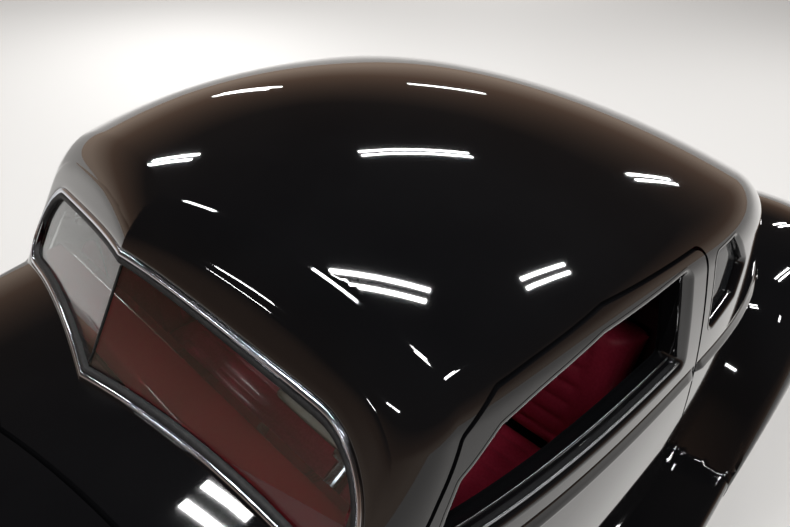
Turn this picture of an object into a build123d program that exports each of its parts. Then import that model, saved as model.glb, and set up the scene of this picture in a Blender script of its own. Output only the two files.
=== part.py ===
"""Chopped 1940s-style coupe hot rod, whole car, in millimetres.

X points forward, Y to the car's left, Z up. The origin is on the ground, under the middle of the body.
The body is a hull (nose, hood, cowl) and a cabin (pillars, roof, doors, tail), each lofted through a few
sections of lines and arcs. Both are hollowed by their wall and split where the real panels meet.
"""

from build123d import *
from math import cos, radians, sin, tan
import os

# Whole car
FRONT_AXLE_X = 1480.0
WHEELBASE = 2810.0
REAR_AXLE_X = FRONT_AXLE_X - WHEELBASE

# Walls and gaps
WALL = 46.0  # doors, quarters and cowl
HOOD_WALL = 24.0
FENDER_WALL = 16.0
PANEL_GAP = 6.0  # round anything that opens
SEAT_GAP = 0.4  # between curved panels that are bolted together
RUN_GAP = 0.3  # round shafts and pins

# Wheels: tyre radius, tyre width, centre distance from the middle of the car
FRONT_TYRE_R, FRONT_TYRE_W, FRONT_WHEEL_Y = 330.0, 205.0, 690.0
REAR_TYRE_R, REAR_TYRE_W, REAR_WHEEL_Y = 355.0, 255.0, 704.0
RIM_R, RIM_WALL = 192.0, 9.0
RIM_LESS = 26.0  # rim narrower than its tyre
DISC_THICK = 14.0
HUB_R = 62.0
LUG_CIRCLE_R, LUG_R, LUG_LENGTH, LUGS = 45.0, 9.5, 20.0, 5
SPOKE_WINDOWS, SPOKE_WINDOW_R = 5, 30.0
ARCH_GAP = 48.0  # wheel opening beyond the tyre
STUB_R = 24.0
DRUM_R, DRUM_THICK = 150.0, 38.0
KINGPIN_Y, KNUCKLE_R, KNUCKLE_HALF = 560.0, 28.0, 85.0
ARM_HEAD = 26.0
HOUSE_WALL_Y, HOUSE_OUT_Y, HOUSE_WALL = 555.0, 640.0, 10.0  # inner wheel houses of the rear wheels

# Windscreen: two flat panes in a V
SCREEN_BASE_X, SCREEN_BASE_Z = 349.0, 1096.0
SCREEN_NORMAL_X, SCREEN_NORMAL_Y, SCREEN_NORMAL_Z = 0.828, 0.199, 0.524
SCREEN_SET, SCREEN_GLASS = 8.0, 6.0  # depth behind the pillars' faces, thickness
SCREEN_TRIM = 18.0  # width of the bright surround
SCREEN_GROOVE = 8.0  # how far the pane goes into the surround

# Cowl seam, which leans back above the hood's split, hood, doors and deck lid
COWL_SEAM_X, COWL_SEAM_SWEEP, COWL_SEAM_LEAN = 560.0, 13.7, 34.0
HOOD_SPLIT_X, HOOD_SPLIT_Z, HOOD_SPLIT_DROP = 300.0, 965.0, 4.0
COWL_X = 267.0  # front edge of the doors, where the cabin's sides give way to the hull's
COWL_LOW_Z = 955.0
DOOR_OUTLINE = [
    (270, 447),
    (-503, 447),
    (-503, 1246),
    (-200, 1266),
    (20, 1246),
    (95, 1210),
    (155, 1111),
    (225, 1010),
    (270, 950),
]
DOOR_CORNER = 34.0
DOOR_HINGE_Y = 668.0
DOOR_BEVEL = 0.03  # lean of the door's rear edge, so that its inner corner clears the pillar
DOOR_HINGE_Z = (560.0, 800.0)
HINGE_PIN_R, HINGE_BARREL_R, HINGE_HALF = 5.0, 9.0, 15.0
WINDOW_OUTLINE = [(-447, 1018), (-447, 1232), (-185, 1233), (30, 1198), (112, 1150), (158, 1060), (150, 1018)]
WINDOW_CORNER = 26.0
WINDOW_STEP, WINDOW_DEPTH = 12.0, 22.0  # the flange round the window: how far it stands in, how deep it lies
QUARTER_OUTLINE = [(-527, 1046), (-532, 1216), (-640, 1214), (-702, 1132), (-655, 1068)]
QUARTER_CORNER = 22.0
GLASS_SET, GLASS_THICK, GLASS_FLANGE = 16.0, 5.0, 8.0
REAR_WINDOW_X, REAR_WINDOW_Z, REAR_WINDOW_TILT = -1085.0, 1208.0, 24.0
REAR_WINDOW_WIDE, REAR_WINDOW_HIGH = 700.0, 215.0
ROOF_SEAM_Z, ROOF_REAR_X = 1004.0, -1255.0
DECK_SPLIT_Y = 480.0
# Deck lid: a plug that widens upwards. Columns: z, front x, rear x, half width, corner
LID_PLUG = [(600, -1680, -1790, 138, 30), (1150, -1362, -2340, 455, 90)]

# Gooseneck hinges: pin x and z, y, reach round the panel's lip, lowest and highest angle
HOOD_HINGE = (340.0, 1000.0, 200.0, 151.0, -52.0, 18.0)
LID_HINGE = (-1300.0, 1020.0, 250.0, 176.0, -82.0, -7.0)
ARM_WIDE, ARM_THICK, ARM_PIN_R, ARM_BOSS_R, ARM_LUG = 14.0, 16.0, 6.0, 12.0, 8.0

# Running boards
BOARD_TOP_Z, BOARD_BOTTOM_Z, BOARD_OUT_Y, BOARD_CORNER = 435.0, 378.0, 860.0, 26.0
BOARD_FRONT_X, BOARD_REAR_X = 470.0, -800.0

# Frame and floor
RAIL_Y, RAIL_W, RAIL_H, RAIL_TOP_Z = 350.0, 60.0, 100.0, 300.0
RAIL_FRONT_X, RAIL_REAR_X = 2130.0, -1980.0
RAIL_KICK_X = -870.0
# Crossmembers between the rails. Columns: x, length, z low, z high
CROSSMEMBERS = [(2090, 60, 220, 300), (1480, 140, 200, 300), (400, 90, 200, 225), (-420, 90, 200, 225), (-1940, 60, 340, 430)]
FLOOR_THICK = 20.0
KICK_X, BOOT_FLOOR_Z = -850.0, 560.0
TUNNEL_HALF, TUNNEL_TOP_Z = 120.0, 440.0
FIREWALL_X = 308.0
SHELF_Z, SHELF_REAR_X = 930.0, -1275.0
BULKHEAD_X = -690.0

# Hull and cabin. Columns: x, half width low, height low, half width at the top of the side, height there,
# middle height, corner, bulge of the side
HULL = [
    (2246, 30, 500, 36, 640, 682, 22, 4),
    (2110, 105, 460, 128, 765, 850, 60, 8),
    (1900, 185, 430, 222, 850, 945, 90, 12),
    (1480, 265, 410, 330, 912, 1008, 115, 12),
    (950, 385, 390, 445, 950, 1052, 105, 14),
    (491, 545, 340, 535, 985, 1070, 80, 20),
    (267, 644, 290, 586, 990, 1088, 60, 36),
    (150, 664, 290, 600, 995, 1100, 60, 36),
]
CABIN = [
    (420, 600, 290, 450, 1188, 1280, 110, 60),
    (267, 647, 290, 506, 1218, 1319, 110, 62),
    (100, 664, 290, 560, 1245, 1359, 110, 62),
    (-150, 680, 290, 610, 1268, 1400, 110, 62),
    (-500, 686, 290, 655, 1250, 1386, 110, 60),
    (-750, 684, 290, 665, 1222, 1336, 110, 60),
    (-950, 672, 290, 630, 1178, 1268, 110, 62),
    (-1150, 648, 290, 560, 1100, 1180, 110, 64),
    (-1380, 600, 300, 470, 1000, 1085, 120, 68),
    (-1620, 540, 315, 395, 905, 980, 130, 75),
    (-1880, 462, 340, 335, 805, 862, 130, 78),
    (-2090, 395, 380, 295, 720, 765, 110, 65),
    (-2248, 330, 430, 255, 620, 665, 80, 45),
]
# Fenders. Columns: x, inner y, bottom, height at inner y, outer y, height at outer y, crown, corner
FRONT_FENDER = [
    (470, 520, 372, 435, 862, 429, 2, 24),
    (700, 460, 350, 575, 864, 540, 15, 70),
    (960, 380, 325, 765, 866, 705, 25, 125),
    (1220, 300, 305, 848, 866, 808, 35, 155),
    (1480, 245, 300, 868, 864, 838, 40, 165),
    (1780, 170, 310, 838, 854, 808, 40, 165),
    (2020, 105, 350, 752, 822, 717, 30, 135),
    (2150, 70, 390, 682, 782, 642, 20, 90),
    (2212, 60, 420, 622, 742, 592, 15, 50),
]
REAR_FENDER = [
    (-800, 620, 372, 435, 862, 429, 2, 24),
    (-890, 620, 350, 600, 866, 560, 10, 60),
    (-1010, 610, 320, 760, 868, 715, 15, 115),
    (-1160, 600, 300, 850, 868, 810, 20, 145),
    (-1330, 570, 300, 885, 866, 850, 20, 155),
    (-1570, 500, 300, 865, 858, 815, 25, 165),
    (-1820, 420, 310, 770, 828, 715, 25, 155),
    (-2060, 340, 345, 620, 755, 560, 20, 105),
    (-2215, 280, 390, 500, 655, 460, 10, 40),
]

# Engine bay, tank and exhaust, as boxes. Columns: x front, x rear, y low, y high, z low, z high
ENGINE_BOX = (1440, 690, -200, 200, 300.3, 830)
GEARBOX_BOX = (689.7, 200, -95, 95, 225.3, 425)
TANK_BOX = (-1560, -1900, -300, 300, 360, 539.6)
MUFFLER_LENGTH, MUFFLER_WIDE, MUFFLER_HIGH, MUFFLER_X = 480.0, 150.0, 72.0, -500.0
EXHAUST_Y, EXHAUST_Z, EXHAUST_R = 235.0, 261.3, 28.0
EXHAUST_FRONT_X, EXHAUST_REAR_X = 660.0, -2225.0
SHAFT_R = 38.0
AXLE_TUBE_R, DIFF_R, DIFF_HALF = 42.0, 130.0, 95.0
SPRING_Y, SPRING_HALF, SPRING_WIDE = 413.0, 400.0, 58.0

# Seats and dashboard
SEAT_HALF = 600.0
SEAT_BASE = [(30, 445), (30, 560), (-10, 585), (-470, 555), (-470, 445)]
SEAT_BACK = [(-475, 560), (-530, 900), (-560, 925), (-640, 925), (-640, 445), (-475, 445)]
DASH = [(296, 1010), (275, 1025), (190, 1015), (160, 985), (165, 890), (205, 840), (296, 840)]
COLUMN_Y, COLUMN_TILT, COLUMN_R = 330.0, 24.0, 22.0
STEERING_HUB = (50.0, 880.0)  # x, z of the steering wheel's middle
STEERING_WHEEL_R, STEERING_RIM_R, STEERING_HUB_R = 190.0, 13.0, 40.0

# Lamps
HEADLAMP_X, HEADLAMP_Y, HEADLAMP_Z, HEADLAMP_R, HEADLAMP_DEEP = 2224.0, 560.0, 520.0, 80.0, 110.0
TAILLAMP_X, TAILLAMP_Y, TAILLAMP_Z, TAILLAMP_R, TAILLAMP_DEEP = -2228.0, 510.0, 440.0, 30.0, 80.0

# Grille
GRILLE_IN_Y, GRILLE_OUT_Y, GRILLE_LOW_Z, GRILLE_HIGH_Z = 110.0, 390.0, 450.0, 580.0
GRILLE_BARS, GRILLE_BAR, GRILLE_X, GRILLE_DEEP = 9, 10.0, 2206.0, 30.0


def across(x):
    """Plane square to the car's length: its x runs to the left, its y up."""
    return Plane(origin=(x, 0, 0), x_dir=(0, 1, 0), z_dir=(1, 0, 0))


def along(y):
    """Side-view plane at y: its x runs forward, its y up."""
    return Plane(origin=(0, y, 0), x_dir=(1, 0, 0), z_dir=(0, -1, 0))


def half_space(point, normal, reach=6000.0):
    """Everything on the back side of a plane."""
    plane = Plane(origin=point, z_dir=normal)
    return plane * Box(reach, reach, reach, align=(Align.CENTER, Align.CENTER, Align.MAX))


def block(x1, x0, y0, y1, z0, z1):
    """Box between the given limits."""
    return Pos((x0 + x1) / 2, (y0 + y1) / 2, (z0 + z1) / 2) * Box(x1 - x0, y1 - y0, z1 - z0)


def side_prism(outline, y0, y1, corner=0.0, grow=0.0):
    """Solid between two y whose side view is a closed outline of (x, z) points."""
    with BuildSketch(along(max(y0, y1))) as sketch:
        with BuildLine():
            Polyline(*outline, close=True)
        make_face()
        if corner:
            fillet(sketch.vertices(), corner)
        if grow:
            offset(amount=grow)
    return extrude(sketch.sketch, abs(y1 - y0))


def tube_x(x0, x1, y, z, radius):
    """Round bar along X."""
    plane = Plane(origin=(min(x0, x1), y, z), x_dir=(0, 1, 0), z_dir=(1, 0, 0))
    return plane * Cylinder(radius, abs(x1 - x0), align=(Align.CENTER, Align.CENTER, Align.MIN))


def tube_y(y0, y1, x, z, radius):
    """Round bar along Y."""
    plane = Plane(origin=(x, min(y0, y1), z), x_dir=(1, 0, 0), z_dir=(0, 1, 0))
    return plane * Cylinder(radius, abs(y1 - y0), align=(Align.CENTER, Align.CENTER, Align.MIN))


def tube_z(z0, z1, x, y, radius):
    """Round bar along Z."""
    return Pos(x, y, z0) * Cylinder(radius, z1 - z0, align=(Align.CENTER, Align.CENTER, Align.MIN))


def mirrored(shape):
    """The same piece on the car's other side."""
    return mirror(shape, about=Plane.XZ)


def both(shape):
    """A left piece and its mirror image together."""
    return Compound([*shape.solids(), *mirrored(shape).solids()])


def body_section(x, low_y, low_z, side_y, side_z, top_z, corner, bulge, inset, drop):
    """One closed section of the hull or cabin, moved inwards by inset, its bottom lowered by drop."""
    y0, y1 = low_y - inset, side_y - inset
    z0, z1, z2 = low_z - drop, side_z - inset * 0.5, top_z - inset
    with BuildSketch(across(x)) as sketch:
        with BuildLine():
            Line((-y0, z0), (y0, z0))
            ThreePointArc((y0, z0), ((y0 + y1) / 2 + bulge, (z0 + z1) / 2), (y1, z1))
            ThreePointArc((y1, z1), (0, z2), (-y1, z1))
            ThreePointArc((-y1, z1), (-(y0 + y1) / 2 - bulge, (z0 + z1) / 2), (-y0, z0))
        make_face()
        fillet(sketch.vertices().sort_by(Axis.Y)[-2:], max(corner - inset, 12))
    return sketch.sketch.face()


def hull(inset=0.0):
    """Nose, hood and cowl as one solid."""
    return loft([body_section(*row, inset, 0.0) for row in HULL])


def hull_inside(inset, drop=100.0):
    """The space inside the hull behind its prow, open at the bottom and to the cabin."""
    return loft([body_section(*row, inset, drop) for row in HULL[1:]])


def cabin(inset=0.0):
    """Pillars, roof, sides and tail as one solid, running on past the windscreen."""
    return loft([body_section(*row, inset, 0.0) for row in CABIN])


def cabin_inside(inset, drop=100.0):
    """The space inside the cabin, open at the bottom and in front, closed by the tail."""
    rows = [list(row) for row in CABIN]
    rows[-1][0] += inset
    return loft([body_section(*row, inset, drop) for row in rows])


def ahead_of_doors():
    """Where the hull, not the cabin, makes the body's sides."""
    return block(3000, COWL_X, -1500, 1500, 0, COWL_LOW_Z)


def room(gap):
    """The inside of cowl and cabin, with a gap to their walls."""
    front = hull_inside(WALL + gap) & block(1000, COWL_X, -1500, 1500, 0, 3000)
    return front + (cabin_inside(WALL + gap) & block(COWL_X, -3000, -1500, 1500, 0, 3000))


def behind_screen(forward=0.0):
    """Everything behind both windscreen planes, moved forward square to themselves."""
    halves = []
    for side in (1, -1):
        normal = (SCREEN_NORMAL_X, side * SCREEN_NORMAL_Y, SCREEN_NORMAL_Z)
        base = (SCREEN_BASE_X, 0, SCREEN_BASE_Z)
        point = tuple(at + forward * part for at, part in zip(base, normal))
        halves.append(half_space(point, normal))
    return halves[0] & halves[1]


def behind_cowl_seam(forward=0.0, lean=0.0):
    """Everything behind the swept seam between hood and cowl, upright or leaning back."""
    sweep, lean = radians(COWL_SEAM_SWEEP), radians(lean)
    point = (COWL_SEAM_X + forward / cos(lean), 0, HOOD_SPLIT_Z)
    ahead, side, up = cos(sweep) * cos(lean), sin(sweep) * cos(lean), sin(lean)
    return half_space(point, (ahead, side, up)) & half_space(point, (ahead, -side, up))


def below_hood_split(up=0.0):
    """Everything under the hood's side edges."""
    drop = radians(HOOD_SPLIT_DROP)
    return half_space((HOOD_SPLIT_X, 0, HOOD_SPLIT_Z + up), (sin(drop), 0, cos(drop)))


def rear_window_cut(grow=0.0):
    """Prism square to the back of the roof."""
    tilt = radians(REAR_WINDOW_TILT)
    middle = (REAR_WINDOW_X, 0, REAR_WINDOW_Z)
    plane = Plane(origin=middle, x_dir=(0, 1, 0), z_dir=(-sin(tilt), 0, cos(tilt)))
    with BuildSketch(plane) as sketch:
        RectangleRounded(REAR_WINDOW_WIDE, REAR_WINDOW_HIGH, REAR_WINDOW_HIGH * 0.42)
        if grow:
            offset(amount=grow)
    return extrude(sketch.sketch, 90, both=True)


def lid_cut(grow=0.0):
    """Plug that frees the deck lid. It widens upwards, so that every edge of the lid can rise."""
    faces = []
    for z, front, rear, half, corner in LID_PLUG:
        with BuildSketch(Plane.XY.offset(z)) as sketch:
            with Locations(((front + rear) / 2, 0)):
                RectangleRounded(front - rear + 2 * grow, 2 * half + 2 * grow, corner)
        faces.append(sketch.sketch.face())
    return loft(faces)


def gooseneck(hinge, forward):
    """Hinge arm that runs from its pin down and round the lip beside it, reaching forward or back."""
    pin_x, pin_z, y, reach, low, high = hinge
    way = 1 if forward else -1

    def at(radius, angle):
        return (pin_x + way * radius * cos(radians(angle)), pin_z + radius * sin(radians(angle)))

    inner, outer, middle = reach - ARM_WIDE / 2, reach + ARM_WIDE / 2, (low + high) / 2
    side = 90 + low
    foot = (way * ARM_WIDE / 2 * cos(radians(side)), ARM_WIDE / 2 * sin(radians(side)))
    tip = at(reach, low)
    with BuildSketch(along(y + ARM_THICK / 2)) as sketch:
        with BuildLine():
            Line(at(inner, low), at(outer, low))
            ThreePointArc(at(outer, low), at(outer, middle), at(outer, high))
            Line(at(outer, high), at(inner, high))
            ThreePointArc(at(inner, high), at(inner, middle), at(inner, low))
        make_face()
        with BuildLine():
            Polyline(
                (pin_x + foot[0], pin_z + foot[1]),
                (tip[0] + foot[0], tip[1] + foot[1]),
                (tip[0] - foot[0], tip[1] - foot[1]),
                (pin_x - foot[0], pin_z - foot[1]),
                close=True,
            )
        make_face()
        with Locations((pin_x, pin_z)):
            Circle(ARM_BOSS_R)
        with Locations(tip):
            Circle(ARM_WIDE / 2)
    arm = extrude(sketch.sketch, ARM_THICK)
    return arm - tube_y(y - ARM_THICK, y + ARM_THICK, pin_x, pin_z, ARM_PIN_R + RUN_GAP)


def hinge_lugs(hinge, top):
    """Pin and the two lugs that carry it, hanging from the skin above."""
    pin_x, pin_z, y = hinge[:3]
    inner = ARM_THICK / 2 + RUN_GAP
    outer = inner + ARM_LUG
    lugs = tube_y(y - outer, y + outer, pin_x, pin_z, ARM_PIN_R)
    for side in (-1, 1):
        near, far = sorted((y + side * inner, y + side * outer))
        lugs += block(pin_x + ARM_BOSS_R, pin_x - ARM_BOSS_R, near, far, pin_z, top)
        lugs += tube_y(near, far, pin_x, pin_z, ARM_BOSS_R)
    return lugs


def door_hinge_half(z, skin_y, on_door):
    """One half of an outside door hinge at a height: the door's middle knuckle, or the cowl's two and the pin."""
    x, y = COWL_X, DOOR_HINGE_Y
    if on_door:
        spans, start, end = [(z - HINGE_HALF, z + HINGE_HALF)], x - 5, x - 42
    else:
        gap = HINGE_HALF + RUN_GAP
        spans, start, end = [(z - 2 * HINGE_HALF, z - gap), (z + gap, z + 2 * HINGE_HALF)], x + 42, x + 5
    half = None
    for low, high in spans:
        knuckle = tube_z(low, high, x, y, HINGE_BARREL_R) + block(start, end, skin_y - 12, y + 4, low, high)
        if on_door:
            knuckle -= tube_z(low - 1, high + 1, x, y, HINGE_PIN_R + RUN_GAP)
        half = knuckle if half is None else half + knuckle
    if not on_door:
        half += tube_z(z - 2 * HINGE_HALF, z + 2 * HINGE_HALF, x, y, HINGE_PIN_R)
    return half


def fender(rows, inset):
    """Outer form of a left fender, or with an inset its wheel house, open below and towards the hull."""
    faces = []
    forward = 1 if rows[-1][0] > rows[0][0] else -1
    for index, (x, in_y, bottom, in_z, out_y, out_z, crown, corner) in enumerate(rows):
        if inset:
            in_y, bottom, in_z, out_y, out_z = in_y - 60, bottom - 60, in_z - inset, out_y - inset, out_z - inset
            x += forward * inset * {0: 1, len(rows) - 1: -1}.get(index, 0)
        with BuildSketch(across(x)) as sketch:
            with BuildLine():
                Polyline((out_y, out_z), (out_y, bottom), (in_y, bottom), (in_y, in_z))
                ThreePointArc((in_y, in_z), ((in_y + out_y) / 2, (in_z + out_z) / 2 + crown), (out_y, out_z))
            make_face()
            top = sketch.vertices().sort_by(Axis.Y)[-2:]
            fillet(top.sort_by(Axis.X)[-1], max(corner - inset, 8))
        faces.append(sketch.sketch.face())
    return loft(faces)


def wheel_opening(axle_x, radius, extra=0.0):
    """Cylinder that opens a left wheel arch and clears the wheel."""
    return tube_y(500, 1000, axle_x, radius, radius + ARCH_GAP + extra)


def skin_y(x, z):
    """Half width of the cabin's side at a place, between its sections."""
    rows = sorted(CABIN)
    index = max(i for i, row in enumerate(rows[:-1]) if row[0] <= x)
    low, high = rows[index], rows[index + 1]
    share = (x - low[0]) / (high[0] - low[0])
    _, low_y, low_z, side_y, side_z, _, _, bulge = (a + share * (b - a) for a, b in zip(low, high))
    up = (z - low_z) / (side_z - low_z)
    return low_y + up * (side_y - low_y) + 4 * bulge * up * (1 - up)


def build_body():
    """Hollow the body and split it into its panels and glass."""
    outer_hull = hull() & block(3000, COWL_X, -1500, 1500, 0, 3000)
    outer_cabin = (cabin() & behind_screen()) - ahead_of_doors()
    inner_cabin = (cabin_inside(WALL) & behind_screen()) - ahead_of_doors()
    shell = (outer_hull + outer_cabin) - hull_inside(WALL) - inner_cabin
    seam = (behind_cowl_seam(-PANEL_GAP / 2, COWL_SEAM_LEAN) - below_hood_split()) + (
        behind_cowl_seam(-PANEL_GAP / 2) & below_hood_split()
    )
    shell = shell & seam
    shell -= both(wheel_opening(REAR_AXLE_X, REAR_TYRE_R, FENDER_WALL + SEAT_GAP) & block(0, -3000, 0, 1000, 0, 3000))

    parts = {}
    # Doors, each kept inside the arc that its rear edge swings through
    opening = side_prism(DOOR_OUTLINE, 380, 1100, DOOR_CORNER)
    leaf = side_prism(DOOR_OUTLINE, 380, 1100, DOOR_CORNER, -PANEL_GAP)
    window = side_prism(WINDOW_OUTLINE, 380, 1100, WINDOW_CORNER)
    light = side_prism(WINDOW_OUTLINE, 380, 1100, WINDOW_CORNER, -WINDOW_STEP)
    rear_edge = half_space((DOOR_OUTLINE[1][0] + PANEL_GAP, DOOR_HINGE_Y + 60, 0), (-1, -DOOR_BEVEL, 0))
    door = largest((shell & leaf & rear_edge) - light - (window - cabin(WINDOW_DEPTH)))
    for z in DOOR_HINGE_Z:
        door += door_hinge_half(z, skin_y(COWL_X, z), True)
    parts["door_left"] = door
    parts["door_right"] = mirrored(door)
    shell = shell - opening - mirrored(opening)

    # Deck lid
    lid = largest(shell & lid_cut(-PANEL_GAP * 1.25))
    arm = gooseneck(LID_HINGE, False)
    parts["deck_lid"] = lid + arm + mirrored(arm)
    shell -= lid_cut()

    # Roof with its windows
    roof_space = block(3000, ROOF_REAR_X, -1500, 1500, ROOF_SEAM_Z, 3000) & behind_screen(1)
    roof = shell & roof_space & block(COWL_X + 90, -3000, -1500, 1500, 0, 3000)
    flange_depth = cabin(GLASS_SET + GLASS_THICK + SEAT_GAP)
    quarter_window = side_prism(QUARTER_OUTLINE, 500, 1100, QUARTER_CORNER) - flange_depth
    quarter_light = side_prism(QUARTER_OUTLINE, 500, 1100, QUARTER_CORNER, -GLASS_FLANGE)
    roof = roof - both(quarter_window) - both(quarter_light) - (rear_window_cut() - flange_depth)
    parts["roof"] = largest(roof - rear_window_cut(-GLASS_FLANGE))
    lower = shell - roof_space

    # Lower panels
    cowl = largest(lower & block(3000, -130, -1500, 1500, 0, 3000))
    lugs = hinge_lugs(HOOD_HINGE, HOOD_HINGE[1] + 40) - parts["roof"]
    cowl = cowl + lugs + mirrored(lugs)
    for z in DOOR_HINGE_Z:
        half = door_hinge_half(z, skin_y(COWL_X, z), False)
        cowl = cowl + half + mirrored(half)
    parts["cowl"] = cowl
    rear = lower & block(-130, -3000, -1500, 1500, 0, 3000)
    parts["quarter_left"] = largest(rear & block(0, -3000, DECK_SPLIT_Y, 1500, 0, 3000))
    parts["quarter_right"] = mirrored(parts["quarter_left"])
    lugs = hinge_lugs(LID_HINGE, LID_HINGE[1] + 34)
    tail = largest(rear & block(0, -3000, -DECK_SPLIT_Y, DECK_SPLIT_Y, 0, 3000))
    parts["tail_panel"] = tail + lugs + mirrored(lugs)
    return parts


def build_glass():
    """Windscreen with its bright surround, quarter glass and rear glass."""
    parts = {}
    hull_skin = hull(-SEAT_GAP)
    doorway = side_prism(DOOR_OUTLINE, 300, 1100, DOOR_CORNER, PANEL_GAP)
    ring_hole = cabin_inside(WALL + SCREEN_TRIM) - hull(-SCREEN_TRIM)
    ring = (cabin_inside(WALL + SEAT_GAP) & behind_screen(2)) - behind_screen(-24) - ring_hole - hull_skin
    edge = SCREEN_TRIM - SCREEN_GROOVE
    pane = (cabin_inside(WALL + edge) - hull(-edge)) & behind_screen(-SCREEN_SET)
    parts["windshield"] = largest(pane - behind_screen(-SCREEN_SET - SCREEN_GLASS))
    groove = cabin_inside(WALL + edge - SEAT_GAP) - hull(SEAT_GAP - edge)
    groove = groove & behind_screen(SEAT_GAP - SCREEN_SET)
    groove = groove - behind_screen(-SCREEN_SET - SCREEN_GLASS - SEAT_GAP)
    parts["windshield_trim"] = largest(ring - groove - both(doorway))

    outside, inside = cabin(GLASS_SET), cabin(GLASS_SET + GLASS_THICK)
    quarter = (outside & side_prism(QUARTER_OUTLINE, 500, 1100, QUARTER_CORNER, -SEAT_GAP)) - inside
    rear = largest((outside & rear_window_cut(-SEAT_GAP)) - inside)
    parts["rear_glass"] = Compound([*both(largest(quarter)).solids(), rear])
    return parts


def largest(shape):
    """The biggest solid of a cut, without the crumbs."""
    return shape.solids().sort_by(SortBy.VOLUME)[-1]


def build_front():
    """Hood, nose, grille, headlamps, fenders and running boards."""
    parts = {}
    shell = (hull() - hull_inside(HOOD_WALL)) & block(3000, COWL_X, -1500, 1500, 0, 3000)
    hood = (shell - behind_cowl_seam(PANEL_GAP / 2, COWL_SEAM_LEAN)) - below_hood_split(PANEL_GAP / 2)
    arm = gooseneck(HOOD_HINGE, True)
    parts["hood"] = largest(hood) + arm + mirrored(arm)
    parts["nose"] = largest((shell - behind_cowl_seam(PANEL_GAP / 2)) & below_hood_split(-PANEL_GAP / 2))

    clear = hull(-SEAT_GAP) + (cabin(-SEAT_GAP) & block(COWL_X, -3000, -1500, 1500, 0, 3000))
    front = fender(FRONT_FENDER, 0) - fender(FRONT_FENDER, FENDER_WALL)
    front = front - wheel_opening(FRONT_AXLE_X, FRONT_TYRE_R) - clear
    front -= block(2300, 2100, GRILLE_IN_Y, GRILLE_OUT_Y, GRILLE_LOW_Z, GRILLE_HIGH_Z)
    front -= tube_x(2100, 2300, HEADLAMP_Y, HEADLAMP_Z, HEADLAMP_R + SEAT_GAP)
    parts["front_fenders"] = both(largest(front))

    tub = wheel_opening(REAR_AXLE_X, REAR_TYRE_R, FENDER_WALL) - wheel_opening(REAR_AXLE_X, REAR_TYRE_R)
    rear = fender(REAR_FENDER, 0) - fender(REAR_FENDER, FENDER_WALL)
    rear = rear - wheel_opening(REAR_AXLE_X, REAR_TYRE_R) - clear
    rear -= tube_x(-2300, -2140, TAILLAMP_Y, TAILLAMP_Z, TAILLAMP_R + SEAT_GAP)
    house = tub & block(0, -3000, HOUSE_WALL_Y, HOUSE_OUT_Y, 300, 1000)
    wall_low = REAR_TYRE_R + DRUM_R + 20
    wall = wheel_opening(REAR_AXLE_X, REAR_TYRE_R, FENDER_WALL)
    house += wall & block(0, -3000, HOUSE_WALL_Y - HOUSE_WALL, HOUSE_WALL_Y, wall_low, 1000)
    parts["rear_fenders"] = Compound([*both(largest(rear)).solids(), *both(house).solids()])

    with BuildSketch(across(BOARD_REAR_X + SEAT_GAP)) as sketch:
        with BuildLine():
            Polyline(
                (500, BOARD_TOP_Z),
                (BOARD_OUT_Y, BOARD_TOP_Z),
                (BOARD_OUT_Y, BOARD_BOTTOM_Z),
                (500, BOARD_BOTTOM_Z),
                close=True,
            )
        make_face()
        fillet(sketch.vertices().sort_by(Axis.X)[-2:].sort_by(Axis.Y)[-1], BOARD_CORNER)
    board = extrude(sketch.sketch, BOARD_FRONT_X - BOARD_REAR_X - 2 * SEAT_GAP)
    parts["running_boards"] = both(largest(board - clear))

    pitch = (GRILLE_OUT_Y - GRILLE_IN_Y) / GRILLE_BARS
    low, high = GRILLE_LOW_Z + SEAT_GAP, GRILLE_HIGH_Z - SEAT_GAP
    near, far = GRILLE_IN_Y + SEAT_GAP, GRILLE_OUT_Y - SEAT_GAP
    bars = block(GRILLE_X, GRILLE_X - GRILLE_DEEP, near, far, low, low + GRILLE_BAR)
    bars += block(GRILLE_X, GRILLE_X - GRILLE_DEEP, near, far, high - GRILLE_BAR, high)
    for index in range(GRILLE_BARS):
        y = GRILLE_IN_Y + (index + 0.5) * pitch
        bars += block(GRILLE_X, GRILLE_X - GRILLE_DEEP, y - GRILLE_BAR / 2, y + GRILLE_BAR / 2, low, high)
    parts["grille"] = both(bars)

    lamp = tube_x(HEADLAMP_X - HEADLAMP_DEEP, HEADLAMP_X - 20, HEADLAMP_Y, HEADLAMP_Z, HEADLAMP_R)
    lamp += tube_x(HEADLAMP_X - 20, HEADLAMP_X, HEADLAMP_Y, HEADLAMP_Z, HEADLAMP_R - 12)
    parts["headlamps"] = both(lamp)
    tail = tube_x(TAILLAMP_X, TAILLAMP_X + TAILLAMP_DEEP, TAILLAMP_Y, TAILLAMP_Z, TAILLAMP_R)
    parts["taillamps"] = both(tail)
    return parts


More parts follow.
